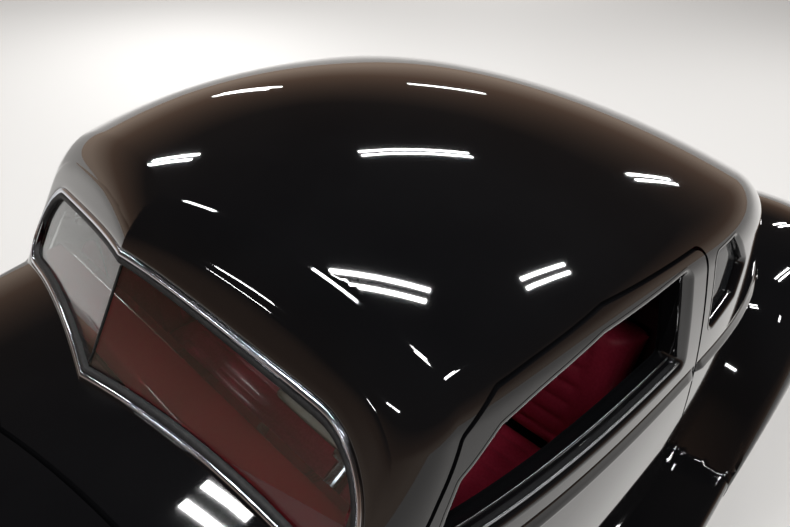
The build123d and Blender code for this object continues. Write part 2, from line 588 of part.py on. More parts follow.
def build_chassis():
    """Ladder frame, running gear, engine, exhaust and tank."""
    parts = {}
    kick_top = BOOT_FLOOR_Z - FLOOR_THICK - SEAT_GAP
    rise = kick_top - RAIL_TOP_Z
    rail = [
        (RAIL_FRONT_X, RAIL_TOP_Z),
        (RAIL_KICK_X, RAIL_TOP_Z),
        (RAIL_KICK_X - 90, RAIL_TOP_Z + rise),
        (RAIL_REAR_X, RAIL_TOP_Z + rise),
        (RAIL_REAR_X, RAIL_TOP_Z + rise - RAIL_H),
        (RAIL_KICK_X - 130, RAIL_TOP_Z + rise - RAIL_H),
        (RAIL_KICK_X - 50, RAIL_TOP_Z - RAIL_H),
        (RAIL_FRONT_X, RAIL_TOP_Z - RAIL_H),
    ]
    frame = both(side_prism(rail, RAIL_Y - RAIL_W / 2, RAIL_Y + RAIL_W / 2))
    reach = RAIL_Y - RAIL_W / 2
    for x, length, low, high in CROSSMEMBERS:
        if x < RAIL_KICK_X:
            low, high = kick_top - RAIL_H, kick_top - RAIL_H + high - low
        frame += block(x + length / 2, x - length / 2, -reach, reach, low, high)
    parts["frame"] = frame

    outside = RAIL_Y + RAIL_W / 2 + RUN_GAP
    arm_low = FRONT_TYRE_R - KNUCKLE_HALF - RUN_GAP
    arm_high = FRONT_TYRE_R + KNUCKLE_HALF + RUN_GAP
    arms = tube_z(arm_low - ARM_HEAD, arm_high + ARM_HEAD, FRONT_AXLE_X, KINGPIN_Y, 14)
    for low in (arm_low - ARM_HEAD, arm_high):
        with BuildSketch(Plane.XY.offset(low)) as sketch:
            with BuildLine():
                Polyline(
                    (FRONT_AXLE_X + 95, outside),
                    (FRONT_AXLE_X + 26, KINGPIN_Y),
                    (FRONT_AXLE_X - 26, KINGPIN_Y),
                    (FRONT_AXLE_X - 95, outside),
                    close=True,
                )
            make_face()
        arms += extrude(sketch.sketch, ARM_HEAD)
        arms += tube_z(low, low + ARM_HEAD, FRONT_AXLE_X, KINGPIN_Y, KNUCKLE_R)
    tower = block(
        FRONT_AXLE_X + 95, FRONT_AXLE_X - 95, RAIL_Y - RAIL_W / 2, outside, RAIL_TOP_Z + RUN_GAP, arm_high + ARM_HEAD
    )
    parts["front_suspension"] = both(arms + tower)

    plate_y = REAR_WHEEL_Y - 80
    axle = tube_y(-plate_y, plate_y, REAR_AXLE_X, REAR_TYRE_R, AXLE_TUBE_R)
    axle += tube_y(-DIFF_HALF, DIFF_HALF, REAR_AXLE_X, REAR_TYRE_R, DIFF_R)
    axle += both(tube_y(plate_y - 8, plate_y, REAR_AXLE_X, REAR_TYRE_R, DRUM_R + 5))
    axle += both(tube_y(plate_y, REAR_WHEEL_Y + 15, REAR_AXLE_X, REAR_TYRE_R, STUB_R))
    parts["rear_axle"] = axle

    spring_top = REAR_TYRE_R - AXLE_TUBE_R - RUN_GAP
    eye_top = RAIL_TOP_Z - 20
    leaf = [
        (REAR_AXLE_X + SPRING_HALF, eye_top),
        (REAR_AXLE_X + 160, spring_top),
        (REAR_AXLE_X - SPRING_HALF, spring_top),
        (REAR_AXLE_X - SPRING_HALF, spring_top - 14),
        (REAR_AXLE_X - 160, spring_top - 34),
        (REAR_AXLE_X + 160, spring_top - 34),
        (REAR_AXLE_X + SPRING_HALF, eye_top - 14),
    ]
    spring_low, spring_high = SPRING_Y - SPRING_WIDE / 2, SPRING_Y + SPRING_WIDE / 2
    springs = side_prism(leaf, spring_low, spring_high)
    rail_side = RAIL_Y + RAIL_W / 2 + RUN_GAP
    front_x, rear_x = REAR_AXLE_X + SPRING_HALF, REAR_AXLE_X - SPRING_HALF
    springs += block(front_x + 30, front_x - 10, rail_side, spring_high, eye_top - 40, eye_top + 10)
    springs += block(rear_x + 10, rear_x - 30, rail_side, spring_high, spring_top - 30, kick_top - 20)
    parts["leaf_springs"] = both(springs)

    parts["engine"] = block(*ENGINE_BOX)
    shaft_rear = REAR_AXLE_X + DIFF_R - 2
    shaft_z = (GEARBOX_BOX[4] + GEARBOX_BOX[5]) / 2 - 30
    start = Vector(GEARBOX_BOX[1], 0, shaft_z)
    finish = Vector(shaft_rear, 0, REAR_TYRE_R - 10)
    run = finish - start
    plane = Plane(origin=start, z_dir=run)
    shaft = plane * Cylinder(SHAFT_R, run.length, align=(Align.CENTER, Align.CENTER, Align.MIN))
    gearbox = block(*GEARBOX_BOX) + shaft
    parts["gearbox_shaft"] = largest(gearbox - tube_y(-200, 200, REAR_AXLE_X, REAR_TYRE_R, DIFF_R + RUN_GAP))

    pipe = tube_x(EXHAUST_FRONT_X, EXHAUST_REAR_X, EXHAUST_Y, EXHAUST_Z, EXHAUST_R)
    muffler = Box(MUFFLER_LENGTH, MUFFLER_WIDE, MUFFLER_HIGH)
    muffler = fillet(muffler.edges().filter_by(Axis.X), MUFFLER_HIGH * 0.45)
    pipe += Pos(MUFFLER_X, EXHAUST_Y, EXHAUST_Z) * muffler
    parts["exhaust"] = both(pipe)
    parts["fuel_tank"] = block(*TANK_BOX)
    return parts


def build_cabin():
    """Floor, firewall, shelf, seats, dashboard and steering column."""
    parts = {}
    space = room(SEAT_GAP)
    floor_z = RAIL_TOP_Z + SEAT_GAP
    tunnel = block(FIREWALL_X, KICK_X, -TUNNEL_HALF, TUNNEL_HALF, floor_z, TUNNEL_TOP_Z)
    hollow = block(FIREWALL_X + 50, KICK_X - 50, 12 - TUNNEL_HALF, TUNNEL_HALF - 12, 0, TUNNEL_TOP_Z - 12)
    floor = block(FIREWALL_X, KICK_X, -900, 900, floor_z, floor_z + FLOOR_THICK) + tunnel
    floor += block(FIREWALL_X + 12, FIREWALL_X, -900, 900, floor_z, 1100)
    floor += block(KICK_X, KICK_X - 12, -900, 900, floor_z, BOOT_FLOOR_Z)
    floor -= hollow
    floor += block(KICK_X, -2190, -900, 900, BOOT_FLOOR_Z - FLOOR_THICK, BOOT_FLOOR_Z)
    floor = (floor & space) & block(3000, -3000, -900, 900, floor_z, 2000)
    tub_in = HOUSE_WALL_Y - HOUSE_WALL - SEAT_GAP
    tubs = wheel_opening(REAR_AXLE_X, REAR_TYRE_R, FENDER_WALL + SEAT_GAP) & block(0, -3000, tub_in, 1000, 0, 2000)
    parts["floor"] = largest(floor - both(tubs))

    shelf = block(BULKHEAD_X, SHELF_REAR_X, -900, 900, SHELF_Z - 12, SHELF_Z)
    shelf += block(BULKHEAD_X, BULKHEAD_X - 12, -900, 900, floor_z + FLOOR_THICK + SEAT_GAP, SHELF_Z)
    cut = block(200, -2000, -TUNNEL_HALF - SEAT_GAP, TUNNEL_HALF + SEAT_GAP, 0, TUNNEL_TOP_Z + SEAT_GAP)
    parts["rear_shelf"] = largest((shelf & space) - cut - both(tubs))

    parts["seat_base"] = side_prism(SEAT_BASE, -SEAT_HALF, SEAT_HALF, 18)
    parts["seat_back"] = side_prism(SEAT_BACK, -SEAT_HALF, SEAT_HALF, 18)
    riser = block(10, -620, -SEAT_HALF + 30, SEAT_HALF - 30, floor_z + FLOOR_THICK + SEAT_GAP, 444.6)
    riser -= block(100, -700, -SEAT_HALF + 50, SEAT_HALF - 50, 0, 444.6 - 20) - block(
        -280, -320, -SEAT_HALF, SEAT_HALF, 0, 500
    )
    parts["seat_frame"] = riser - cut

    dash_room = (cabin_inside(WALL + 8) & block(COWL_X, 0, -900, 900, 0, 2000)) + (
        space & block(FIREWALL_X - SEAT_GAP, COWL_X, -900, 900, 0, 2000)
    )
    parts["dashboard"] = largest((side_prism(DASH, -900, 900, 14) & dash_room) & behind_screen(-30))
    tilt = radians(COLUMN_TILT)
    hub_x, hub_z = STEERING_HUB
    axis = (-cos(tilt), 0, sin(tilt))
    hub = Plane(origin=(hub_x, COLUMN_Y, hub_z), z_dir=axis)
    length = (FIREWALL_X - SEAT_GAP - hub_x) / cos(tilt) - 10
    low = (Align.CENTER, Align.CENTER, Align.MAX)
    column = hub * (Pos(0, 0, -20 - RUN_GAP) * Cylinder(COLUMN_R, length - 20, align=low))
    column += hub * Cylinder(9, 60, align=(Align.CENTER, Align.CENTER, Align.CENTER))
    parts["steering_column"] = column
    with BuildSketch(Plane.XZ) as sketch:
        with Locations((STEERING_WHEEL_R, 0)):
            RegularPolygon(STEERING_RIM_R, 8)
    wheel = revolve(sketch.sketch, Axis.Z)
    wheel += Pos(0, 0, -20) * Cylinder(STEERING_HUB_R, 40, align=(Align.CENTER, Align.CENTER, Align.MIN))
    for turn in (90, 210, 330):
        wheel += Rot(0, 0, turn) * (Pos(STEERING_WHEEL_R / 2, 0, 0) * Box(STEERING_WHEEL_R, 30, 8))
    wheel -= Pos(0, 0, -21) * Cylinder(9 + RUN_GAP, 40, align=(Align.CENTER, Align.CENTER, Align.MIN))
    wheel -= Pos(0, 0, 19) * Cylinder(9 + RUN_GAP, 12, align=(Align.CENTER, Align.CENTER, Align.MIN))
    parts["steering_wheel"] = hub * wheel
    return parts


def tyre(radius, width):
    """Tyre about Y, from a few straight steps."""
    half = width / 2
    bead = half - RIM_LESS / 2
    bore = RIM_R + SEAT_GAP
    with BuildSketch(Plane.XY) as sketch:
        with BuildLine():
            Polyline(
                (bore, -bead),
                (radius - 62, -half),
                (radius - 24, 8 - half),
                (radius, 34 - half),
                (radius, half - 34),
                (radius - 24, half - 8),
                (radius - 62, half),
                (bore, bead),
                close=True,
            )
        make_face()
    return revolve(sketch.sketch, Axis.Y)


def wheel(width):
    """Rim, spoked disc, drum and lugs about Y, with its outer side towards +Y."""
    half = (width - RIM_LESS) / 2
    inner = RIM_R - RIM_WALL
    with BuildSketch(Plane.XY) as sketch:
        with BuildLine():
            Polyline(
                (inner, -half - 9),
                (RIM_R + 14, -half - 9),
                (RIM_R + 14, -half - 3),
                (RIM_R, -half - 3),
                (RIM_R, half + 3),
                (RIM_R + 14, half + 3),
                (RIM_R + 14, half + 9),
                (inner, half + 9),
                close=True,
            )
        make_face()
    rim = revolve(sketch.sketch, Axis.Y)
    face = half - 46
    disc = tube_y(face - DISC_THICK, face, 0, 0, inner + 2)
    for index in range(SPOKE_WINDOWS):
        turn = index * 360 / SPOKE_WINDOWS
        disc -= Rot(0, turn, 0) * tube_y(face - 50, face + 50, 118, 0, SPOKE_WINDOW_R)
    rim += disc
    rim += tube_y(-75, face + 6, 0, 0, HUB_R)
    rim += tube_y(-75, DRUM_THICK - 75, 0, 0, DRUM_R)
    rim += tube_y(face, face + 26, 0, 0, 27)
    for index in range(LUGS):
        turn = (index + 0.5) * 360 / LUGS
        rim += Rot(0, turn, 0) * tube_y(face, face + LUG_LENGTH, LUG_CIRCLE_R, 0, LUG_R)
    rim -= tube_y(-76, 20, 0, 0, STUB_R + RUN_GAP)
    return rim


def build_wheels():
    """Four tyres and wheels and the two steering knuckles."""
    parts = {}
    places = (
        ("front", FRONT_AXLE_X, FRONT_WHEEL_Y, FRONT_TYRE_R, FRONT_TYRE_W),
        ("rear", REAR_AXLE_X, REAR_WHEEL_Y, REAR_TYRE_R, REAR_TYRE_W),
    )
    for end, x, y, radius, width in places:
        place = Pos(x, y, radius)
        left = {"tyre": place * tyre(radius, width), "wheel": place * wheel(width)}
        for name, shape in left.items():
            parts[f"{name}_{end}_left"] = shape
            parts[f"{name}_{end}_right"] = mirrored(shape)
    z = FRONT_TYRE_R
    plate_y = FRONT_WHEEL_Y - 80
    knuckle = tube_z(z - KNUCKLE_HALF, z + KNUCKLE_HALF, FRONT_AXLE_X, KINGPIN_Y, KNUCKLE_R)
    knuckle += tube_y(KINGPIN_Y, plate_y, FRONT_AXLE_X, z, 40)
    knuckle += tube_y(plate_y - 8, plate_y, FRONT_AXLE_X, z, DRUM_R + 5)
    knuckle += tube_y(plate_y, FRONT_WHEEL_Y + 15, FRONT_AXLE_X, z, STUB_R)
    knuckle += block(FRONT_AXLE_X, FRONT_AXLE_X - 130, KINGPIN_Y - 28, KINGPIN_Y - 4, z - 70, z - 50)
    knuckle -= tube_z(0, 1000, FRONT_AXLE_X, KINGPIN_Y, 14 + RUN_GAP)
    parts["knuckle_left"] = knuckle
    parts["knuckle_right"] = mirrored(knuckle)
    return parts


if __name__ == "__main__":
    os.makedirs("parts", exist_ok=True)
    for group in (build_body, build_glass, build_front, build_chassis, build_cabin, build_wheels):
        for name, shape in group().items():
            export_step(shape, f"parts/{name}.step")
            box = shape.bounding_box()
            sizes = f"{box.min.X:.0f} {box.max.X:.0f} | {box.min.Y:.0f} {box.max.Y:.0f} | {box.min.Z:.0f} {box.max.Z:.0f}"
            print(name, len(shape.solids()), sizes)
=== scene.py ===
"""Looks of the chopped coupe hot rod: gloss black skin, bright trim, red leather cabin, tyres, studio.

Places are in metres in the frame's own axes: X forward, Y to the car's left, Z up. The tables of body
sections and outlines are in millimetres, as the part has them.
"""

from math import cos, pi, radians, sin

import bmesh
import bpy
import numpy as np
from mathutils import Matrix, Vector


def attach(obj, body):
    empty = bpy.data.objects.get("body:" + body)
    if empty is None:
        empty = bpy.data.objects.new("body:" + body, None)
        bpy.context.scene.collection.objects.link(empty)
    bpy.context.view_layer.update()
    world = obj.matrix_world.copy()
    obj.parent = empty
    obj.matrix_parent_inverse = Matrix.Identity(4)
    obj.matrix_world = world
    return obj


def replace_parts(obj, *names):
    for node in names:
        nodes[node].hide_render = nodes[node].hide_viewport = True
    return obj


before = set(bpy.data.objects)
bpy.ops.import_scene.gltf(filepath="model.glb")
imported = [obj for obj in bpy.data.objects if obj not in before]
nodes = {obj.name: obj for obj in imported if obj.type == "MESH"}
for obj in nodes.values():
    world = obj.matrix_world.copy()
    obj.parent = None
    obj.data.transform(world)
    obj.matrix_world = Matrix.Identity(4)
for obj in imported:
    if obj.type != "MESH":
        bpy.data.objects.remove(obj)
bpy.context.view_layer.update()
MM = 0.001

# Camera, as the photograph was taken: from above the left front wheel, looking back and down
CAMERA_AT = (0.4853, 0.8382, 1.8093)
CAMERA_YAW, CAMERA_PITCH, CAMERA_ROLL = 223.44, -35.98, 0.64
CAMERA_LENS = 26.56

# Studio
FLOOR_R = 26.0
TUBE_WIDTH, TUBE_APART = 0.06, 0.16
TUBE_POWER = 13.0  # watts a metre of tube at 4.6 m, less for a lower one
SKYLIGHT_POWER, SKYLIGHT_SPREAD = 2.2, 60.0  # watts a square metre, degrees
SKYLIGHT_TILT = (-38, 14)  # degrees about X and Y
FLOOR_COLOUR = (0.78, 0.765, 0.745, 1)
# Pairs of tubes overhead. Columns: x, y, z, turn in degrees, length
TUBES = [
    (-3.35, -1.85, 4.6, 156, 2.04),
    (-0.69, -0.02, 4.6, 120, 1.25),
    (-2.81, 1.28, 4.6, 170, 1.08),
    (0.10, -3.12, 4.6, 98, 0.8),
    (-1.22, -6.56, 4.6, 95, 2.0),
    (0.28, -0.31, 4.6, 96, 0.74),
    (-0.04, 1.06, 4.6, 121, 0.3),
    (-0.36, 2.47, 4.6, 17, 0.4),
    (-7.9, -5.1, 3.2, 152, 1.9),
    (-6.15, 0.32, 3.2, 172, 1.65),
    (-2.56, -4.9, 2.2, 78, 2.8),
    (5.2, 1.4, 4.6, 90, 1.2),
    (5.2, -2.2, 4.6, 90, 1.2),
]
# Colour of the surroundings by height. Columns: sine of the height above the horizon, red, green, blue
SURROUNDINGS = [
    (0.0, 0.31, 0.235, 0.185),
    (0.14, 0.14, 0.088, 0.062),
    (0.4, 0.022, 0.016, 0.013),
    (1.0, 0.009, 0.008, 0.008),
]

# Body sections. Columns: x, half width low, height low, half width at the top of the side, height there,
# middle height, corner, bulge of the side
HULL = [
    (2246, 30, 500, 36, 640, 682, 22, 4),
    (2110, 105, 460, 128, 765, 850, 60, 8),
    (1900, 185, 430, 222, 850, 945, 90, 12),
    (1480, 265, 410, 330, 912, 1008, 115, 12),
    (950, 385, 390, 445, 950, 1052, 105, 14),
    (491, 545, 340, 535, 985, 1070, 80, 20),
    (267, 644, 290, 586, 990, 1088, 60, 36),
    (150, 664, 290, 600, 995, 1100, 60, 36),
]
CABIN = [
    (420, 600, 290, 450, 1188, 1280, 110, 60),
    (267, 647, 290, 506, 1218, 1319, 110, 62),
    (100, 664, 290, 560, 1245, 1359, 110, 62),
    (-150, 680, 290, 610, 1268, 1400, 110, 62),
    (-500, 686, 290, 655, 1250, 1386, 110, 60),
    (-750, 684, 290, 665, 1222, 1336, 110, 60),
    (-950, 672, 290, 630, 1178, 1268, 110, 62),
    (-1150, 648, 290, 560, 1100, 1180, 110, 64),
    (-1380, 600, 300, 470, 1000, 1085, 120, 68),
    (-1620, 540, 315, 395, 905, 980, 130, 75),
    (-1880, 462, 340, 335, 805, 862, 130, 78),
    (-2090, 395, 380, 295, 720, 765, 110, 65),
    (-2248, 330, 430, 255, 620, 665, 80, 45),
]
# Fenders. Columns: x, inner y, bottom, height at inner y, outer y, height at outer y, crown, corner
FRONT_FENDER = [
    (470, 520, 372, 435, 862, 429, 2, 24),
    (700, 460, 350, 575, 864, 540, 15, 70),
    (960, 380, 325, 765, 866, 705, 25, 125),
    (1220, 300, 305, 848, 866, 808, 35, 155),
    (1480, 245, 300, 868, 864, 838, 40, 165),
    (1780, 170, 310, 838, 854, 808, 40, 165),
    (2020, 105, 350, 752, 822, 717, 30, 135),
    (2150, 70, 390, 682, 782, 642, 20, 90),
    (2212, 60, 420, 622, 742, 592, 15, 50),
]
REAR_FENDER = [
    (-800, 620, 372, 435, 862, 429, 2, 24),
    (-890, 620, 350, 600, 866, 560, 10, 60),
    (-1010, 610, 320, 760, 868, 715, 15, 115),
    (-1160, 600, 300, 850, 868, 810, 20, 145),
    (-1330, 570, 300, 885, 866, 850, 20, 155),
    (-1570, 500, 300, 865, 858, 815, 25, 165),
    (-1820, 420, 310, 770, 828, 715, 25, 155),
    (-2060, 340, 345, 620, 755, 560, 20, 105),
    (-2215, 280, 390, 500, 655, 460, 10, 40),
]

# Windscreen plane of the left half: a point, its outward, sideways and upward directions
SCREEN_POINT = np.array((349.0, 0.0, 1096.0))
SCREEN_OUT = np.array((0.828, 0.199, 0.524))
SCREEN_SIDE = np.round(np.cross((0, 0, 1), SCREEN_OUT) / np.linalg.norm(SCREEN_OUT[:2]), 4)
SCREEN_UP = np.round(np.cross(SCREEN_OUT, SCREEN_SIDE), 4)
SCREEN_MIDDLE = 100.0  # height up the plane from which the opening's edge is looked for
SCREEN_TOP, SCREEN_JOINT = 188.0, 14.0  # last and first height of the joint between the panes
RIDGE_LEAN = 0.126  # sideways part of the line where the two halves meet, for one upwards
BROW = 38.0  # rounding between the pillars' faces and the skin
TAIL_ROUND, FENDER_ROUND = 48.0, 20.0  # rounding of the skin's flat ends
SCREEN_WALL, SCREEN_PILLAR = 46.0, 28.0  # from the skin to the opening, above and at the side
SCREEN_DROP = 24.0  # how far the opening's upper edge is flatter than the roof
SCREEN_CORNER, SCREEN_FOOT = 95.0, 60.0  # rounding of the opening's upper and lower corners
# Sections of the bands round the windscreen opening. Columns: inset, height over the plane
ROLL_SECTION = [(-44, -1), (-40, 0.4), (-34, 0.7), (-26, 0.8), (-18, 0.9), (-10, 1), (-2, 1.2)]
ROLL_SECTION += [(0.5, 1), (2.2, 0), (3, -3), (3, -9)]
BEAD_SECTION = [(2.8, -4), (3, 0.4), (4.2, 2.4), (6.5, 3.4), (9, 2.8), (10.6, 0.8), (11, -3)]
RUBBER_SECTION = [(10.8, -3), (11.5, 0.6), (14, 1.1), (17, 0.5), (18.6, -2), (19, -8.6)]
# Bands round the windscreen opening. Columns: name, material, section
SCREEN_BANDS = [
    ("screen_roll", "black_paint", ROLL_SECTION),
    ("screen_bead", "bright_trim", BEAD_SECTION),
    ("screen_rubber", "rubber", RUBBER_SECTION),
]

# Longest edges of the painted skin in metres: in general, on the brow, at soft corners, at the flat ends
SKIN_EDGE, BROW_EDGE, CORNER_EDGE, END_EDGE = 0.045, 0.012, 0.02, 0.014
SMOOTH_LIMIT = 35.0  # angle in degrees under which faces are shaded as one

# Side openings in side view (x, z), with their corner radius
WINDOW_OUTLINE = [(-447, 1018), (-447, 1232), (-185, 1233), (30, 1198)]
WINDOW_OUTLINE += [(112, 1150), (158, 1060), (150, 1018)]
WINDOW_CORNER = 26.0
QUARTER_OUTLINE = [(-527, 1046), (-532, 1216), (-640, 1214), (-702, 1132), (-655, 1068)]
QUARTER_CORNER = 22.0
CORNER_POINTS, SIDE_STEP = 7, 22.0  # points in each corner of a window, and their spacing along its sides
# Softer corners of the door and its window. Columns: x, z, shift in x, shift in z
SOFT_CORNERS = [
    (20, 1246, -0.8, -3.4),
    (95, 1210, -6.4, -7.0),
    (30, 1198, -1.4, -3.2),
    (112, 1150, -6.2, -5.8),
]
SOFT_REACH = 38.0
# Rolled edge of a side window. Columns: how far in from the outline, depth below the skin
REVEAL = [(2, -0.6), (0, -0.7), (-3, -0.3), (-6, 1.2), (-9, 4), (-11.5, 8.5)]
REVEAL += [(-13, 14), (-13.6, 20), (-13.8, 46)]
QUARTER_REVEAL = [(2, -0.6), (0, -0.7), (-3, 0.4), (-6, 3), (-8.4, 7), (-9.2, 12), (-9.4, 16)]
SILL_X = (-431, 143)
# Strips along the sill of the door window. Columns: depth, thickness, top above the sill, material
SILL_STRIPS = [(7, 3.0, 17, "strip_metal"), (16, 12.0, 13, "felt"), (27, 3.0, 17, "strip_metal")]

# Steering wheel, its middle in metres and its tilt in degrees, with sizes in millimetres
WHEEL_HUB, WHEEL_TILT = (0.050, 0.330, 0.880), 24.0
WHEEL_RIM_R, WHEEL_RIM, WHEEL_BOSS = 179.0, 11.0, 38.0
# Dials in the dash. Columns: y, z, radius, and the dash's face at x
DIALS = [(392, 925, 46), (272, 925, 46), (60, 935, 27), (-10, 935, 27), (-80, 935, 27)]
DASH_FACE_X = 163.0
# Door cards, in side view: first and last x, low and high z, depths of back and face under the skin
CARD_X, CARD_Z, CARD_DEPTHS = (-440, 190), (500, 985), (45.0, 53.0)
CARD_PLEAT = 60.0

# Sizes of the cushions: across, along, thickness, pitch of the rolls, bolster, crown
CUSHION_SIZES, BACK_SIZES = (1190, 500, 140, 55, 95, 14), (1190, 400, 120, 55, 95, 12)
# Cushions. Columns: piece, node, middle, way along, way out, sizes
CUSHIONS = [
    ("bench_cushion", "seat_base", (-215, 0, 512), (-0.998, 0, -0.06), (-0.06, 0, 0.998), CUSHION_SIZES),
    ("bench_back", "seat_back", (-553, 0, 735), (-0.17, 0, 0.985), (0.985, 0, 0.17), BACK_SIZES),
]

# Middles of the left lamps' faces
HEADLAMP_AT, TAILLAMP_AT = np.array((2224, 560, 520)), np.array((-2228, 510, 440))

# Tyres. Columns: end, axle x, axle height, outer radius, width, y of the middle
TYRES = [("front", 1480, 330, 330, 205, 690), ("rear", -1330, 355, 355, 255, 704)]
RIM_R = 192.4
TYRE_STEPS, SIPE_STEPS, SIPE_DEEP = 240, 5, 5.0
GROOVES = (0.0, 0.3, 0.62)  # middles of the tread's grooves, as shares of its half width
GROOVE_HALF, GROOVE_DEEP = 4.0, 7.0

BELT_Z = 978.0
# Section of the belt moulding. Columns: up, out
BELT_SECTION = [(17, -1), (16, 0.3), (11, 1.8), (4, 4.6), (-2, 7.2), (-5, 7.8)]
BELT_SECTION += [(-7, 6), (-8, 2.6), (-8.4, -1)]
# Mouldings along the belt. Columns: piece, body, first x, last x
BELTS = [("belt_door", "door_left", 232, -493), ("belt_quarter", "chassis", -506, -1160)]


def side_and_crown(columns):
    """Centre and radius of a body section's side arc, and the radius and height of its crown's centre."""
    low_y, low_z, side_y, side_z, top_z, corner, bulge = columns
    side_at_y, side_at_z, side_radius = circle(
        (low_y, low_z), ((low_y + side_y) / 2 + bulge, (low_z + side_z) / 2), (side_y, side_z)
    )
    rise = top_z - side_z
    crown_radius = (side_y**2 + rise**2) / (2 * rise)
    return side_at_y, side_at_z, side_radius, crown_radius, top_z - crown_radius


def body_distance(points, columns):
    """Distance outside a body section: a side arc, a crown arc and a rounded corner between them."""
    y, z = np.abs(points[:, 1]), points[:, 2]
    side_y, side_z, corner = columns[2], columns[3], columns[5]
    side_at_y, side_at_z, side_radius, crown_radius, crown_z = side_and_crown(columns)
    reach_side, reach_crown = side_radius - corner, crown_radius - corner
    apart_y, apart_z = -side_at_y, crown_z - side_at_z
    apart = np.hypot(apart_y, apart_z)
    along = (reach_side**2 - reach_crown**2 + apart**2) / (2 * apart)
    off = np.sqrt(np.maximum(reach_side**2 - along**2, 0))
    middle_y, middle_z = side_at_y + along * apart_y / apart, side_at_z + along * apart_z / apart
    one = (middle_y + off * apart_z / apart, middle_z - off * apart_y / apart)
    two = (middle_y - off * apart_z / apart, middle_z + off * apart_y / apart)
    nearer = np.hypot(one[0] - side_y, one[1] - side_z) < np.hypot(two[0] - side_y, two[1] - side_z)
    corner_y, corner_z = np.where(nearer, one[0], two[0]), np.where(nearer, one[1], two[1])
    start = np.arctan2(corner_z - side_at_z, corner_y - side_at_y)
    end = np.arctan2(corner_z - crown_z, corner_y)
    angle = np.arctan2(z - corner_z, y - corner_y)
    from_corner = np.hypot(y - corner_y, z - corner_z) - corner
    from_side = np.hypot(y - side_at_y, z - side_at_z) - side_radius
    from_crown = np.hypot(y, z - crown_z) - crown_radius
    past_corner = np.where(angle <= start, from_side, from_crown)
    outside = np.where((angle > start) & (angle < end), from_corner, past_corner)
    inside = (y < corner_y) & (z < corner_z)
    return np.where(inside, np.maximum(from_side, from_crown), outside)


def rounded(one, two, radius):
    """Distance outside the overlap of two shapes whose shared edge is rounded."""
    a, b = np.maximum(one + radius, 0), np.maximum(two + radius, 0)
    return np.where((a > 0) & (b > 0), np.hypot(a, b) - radius, np.maximum(one, two))


def before_screen(points):
    """Distance in front of the windscreen plane of the nearer half."""
    folded = points * (1, 0, 1) + np.abs(points) * (0, 1, 0)
    return (folded - SCREEN_POINT) @ SCREEN_OUT


def behind_tail(points):
    """Distance behind the tail's flat end."""
    return CABIN[-1][0] - points[:, 0]


def past_nose_end(points):
    """Distance ahead of the front fenders' flat ends."""
    return points[:, 0] - FRONT_FENDER[-1][0]


def past_rear_end(points):
    """Distance behind the rear fenders' flat ends."""
    return REAR_FENDER[-1][0] - points[:, 0]


def cabin_distance(points, columns):
    """Distance outside the cabin, rounded over to the windscreen's pillars and to the tail's end."""
    skin = rounded(body_distance(points, columns), before_screen(points), BROW)
    return rounded(skin, behind_tail(points), TAIL_ROUND)


def front_fender_distance(points, columns):
    """Distance outside a front fender, rounded over to its end."""
    return rounded(fender_distance(points, columns), past_nose_end(points), FENDER_ROUND)


def rear_fender_distance(points, columns):
    """Distance outside a rear fender, rounded over to its end."""
    return rounded(fender_distance(points, columns), past_rear_end(points), FENDER_ROUND)


def opening_distance(points, columns):
    """Distance outside the windscreen opening."""
    side_at_y, side_at_z, side_radius, crown_radius, crown_z = side_and_crown(columns)
    y, z = np.abs(points[:, 1]), points[:, 2]
    from_side = np.hypot(y - side_at_y, z - side_at_z) - side_radius + SCREEN_PILLAR
    from_crown = np.hypot(y, z - crown_z) - crown_radius + SCREEN_WALL
    from_crown += SCREEN_DROP * np.sin(pi * np.clip(y / 560, 0, 1))
    above_cowl = -SURFACES["hull"].distance(points)
    return rounded(rounded(from_side, from_crown, SCREEN_CORNER), above_cowl, SCREEN_FOOT)


def fender_distance(points, columns):
    """Distance outside a fender section: an upright side, a crown arc and a rounded corner."""
    y, z = np.abs(points[:, 1]), points[:, 2]
    in_y, bottom, in_z, out_y, out_z, crown, corner = columns
    crown_y, crown_z, crown_radius = circle(
        (in_y, in_z), ((in_y + out_y) / 2, (in_z + out_z) / 2 + crown), (out_y, out_z)
    )
    corner_y = out_y - corner
    corner_z = crown_z + np.sqrt(np.maximum((crown_radius - corner) ** 2 - (corner_y - crown_y) ** 2, 0))
    turn = (corner_y - crown_y) * (z - corner_z) - (corner_z - crown_z) * (y - corner_y)
    from_corner = np.hypot(y - corner_y, z - corner_z) - corner
    from_crown = np.hypot(y - crown_y, z - crown_z) - crown_radius
    upper = np.where(turn > 0, from_crown, from_corner)
    return np.where((z <= corner_z) & (y > in_y), y - out_y, upper)


def circle(first, middle, last):
    """Centre and radius of the circles through three sets of points."""
    (ay, az), (by, bz), (cy, cz) = first, middle, last
    spread = 2 * (ay * (bz - cz) + by * (cz - az) + cy * (az - bz))
    spread = np.where(np.abs(spread) < 1e-6, 1e-6, spread)
    a, b, c = ay**2 + az**2, by**2 + bz**2, cy**2 + cz**2
    at_y = (a * (bz - cz) + b * (cz - az) + c * (az - bz)) / spread
    at_z = (a * (cy - by) + b * (ay - cy) + c * (by - ay)) / spread
    return at_y, at_z, np.hypot(ay - at_y, az - at_z)


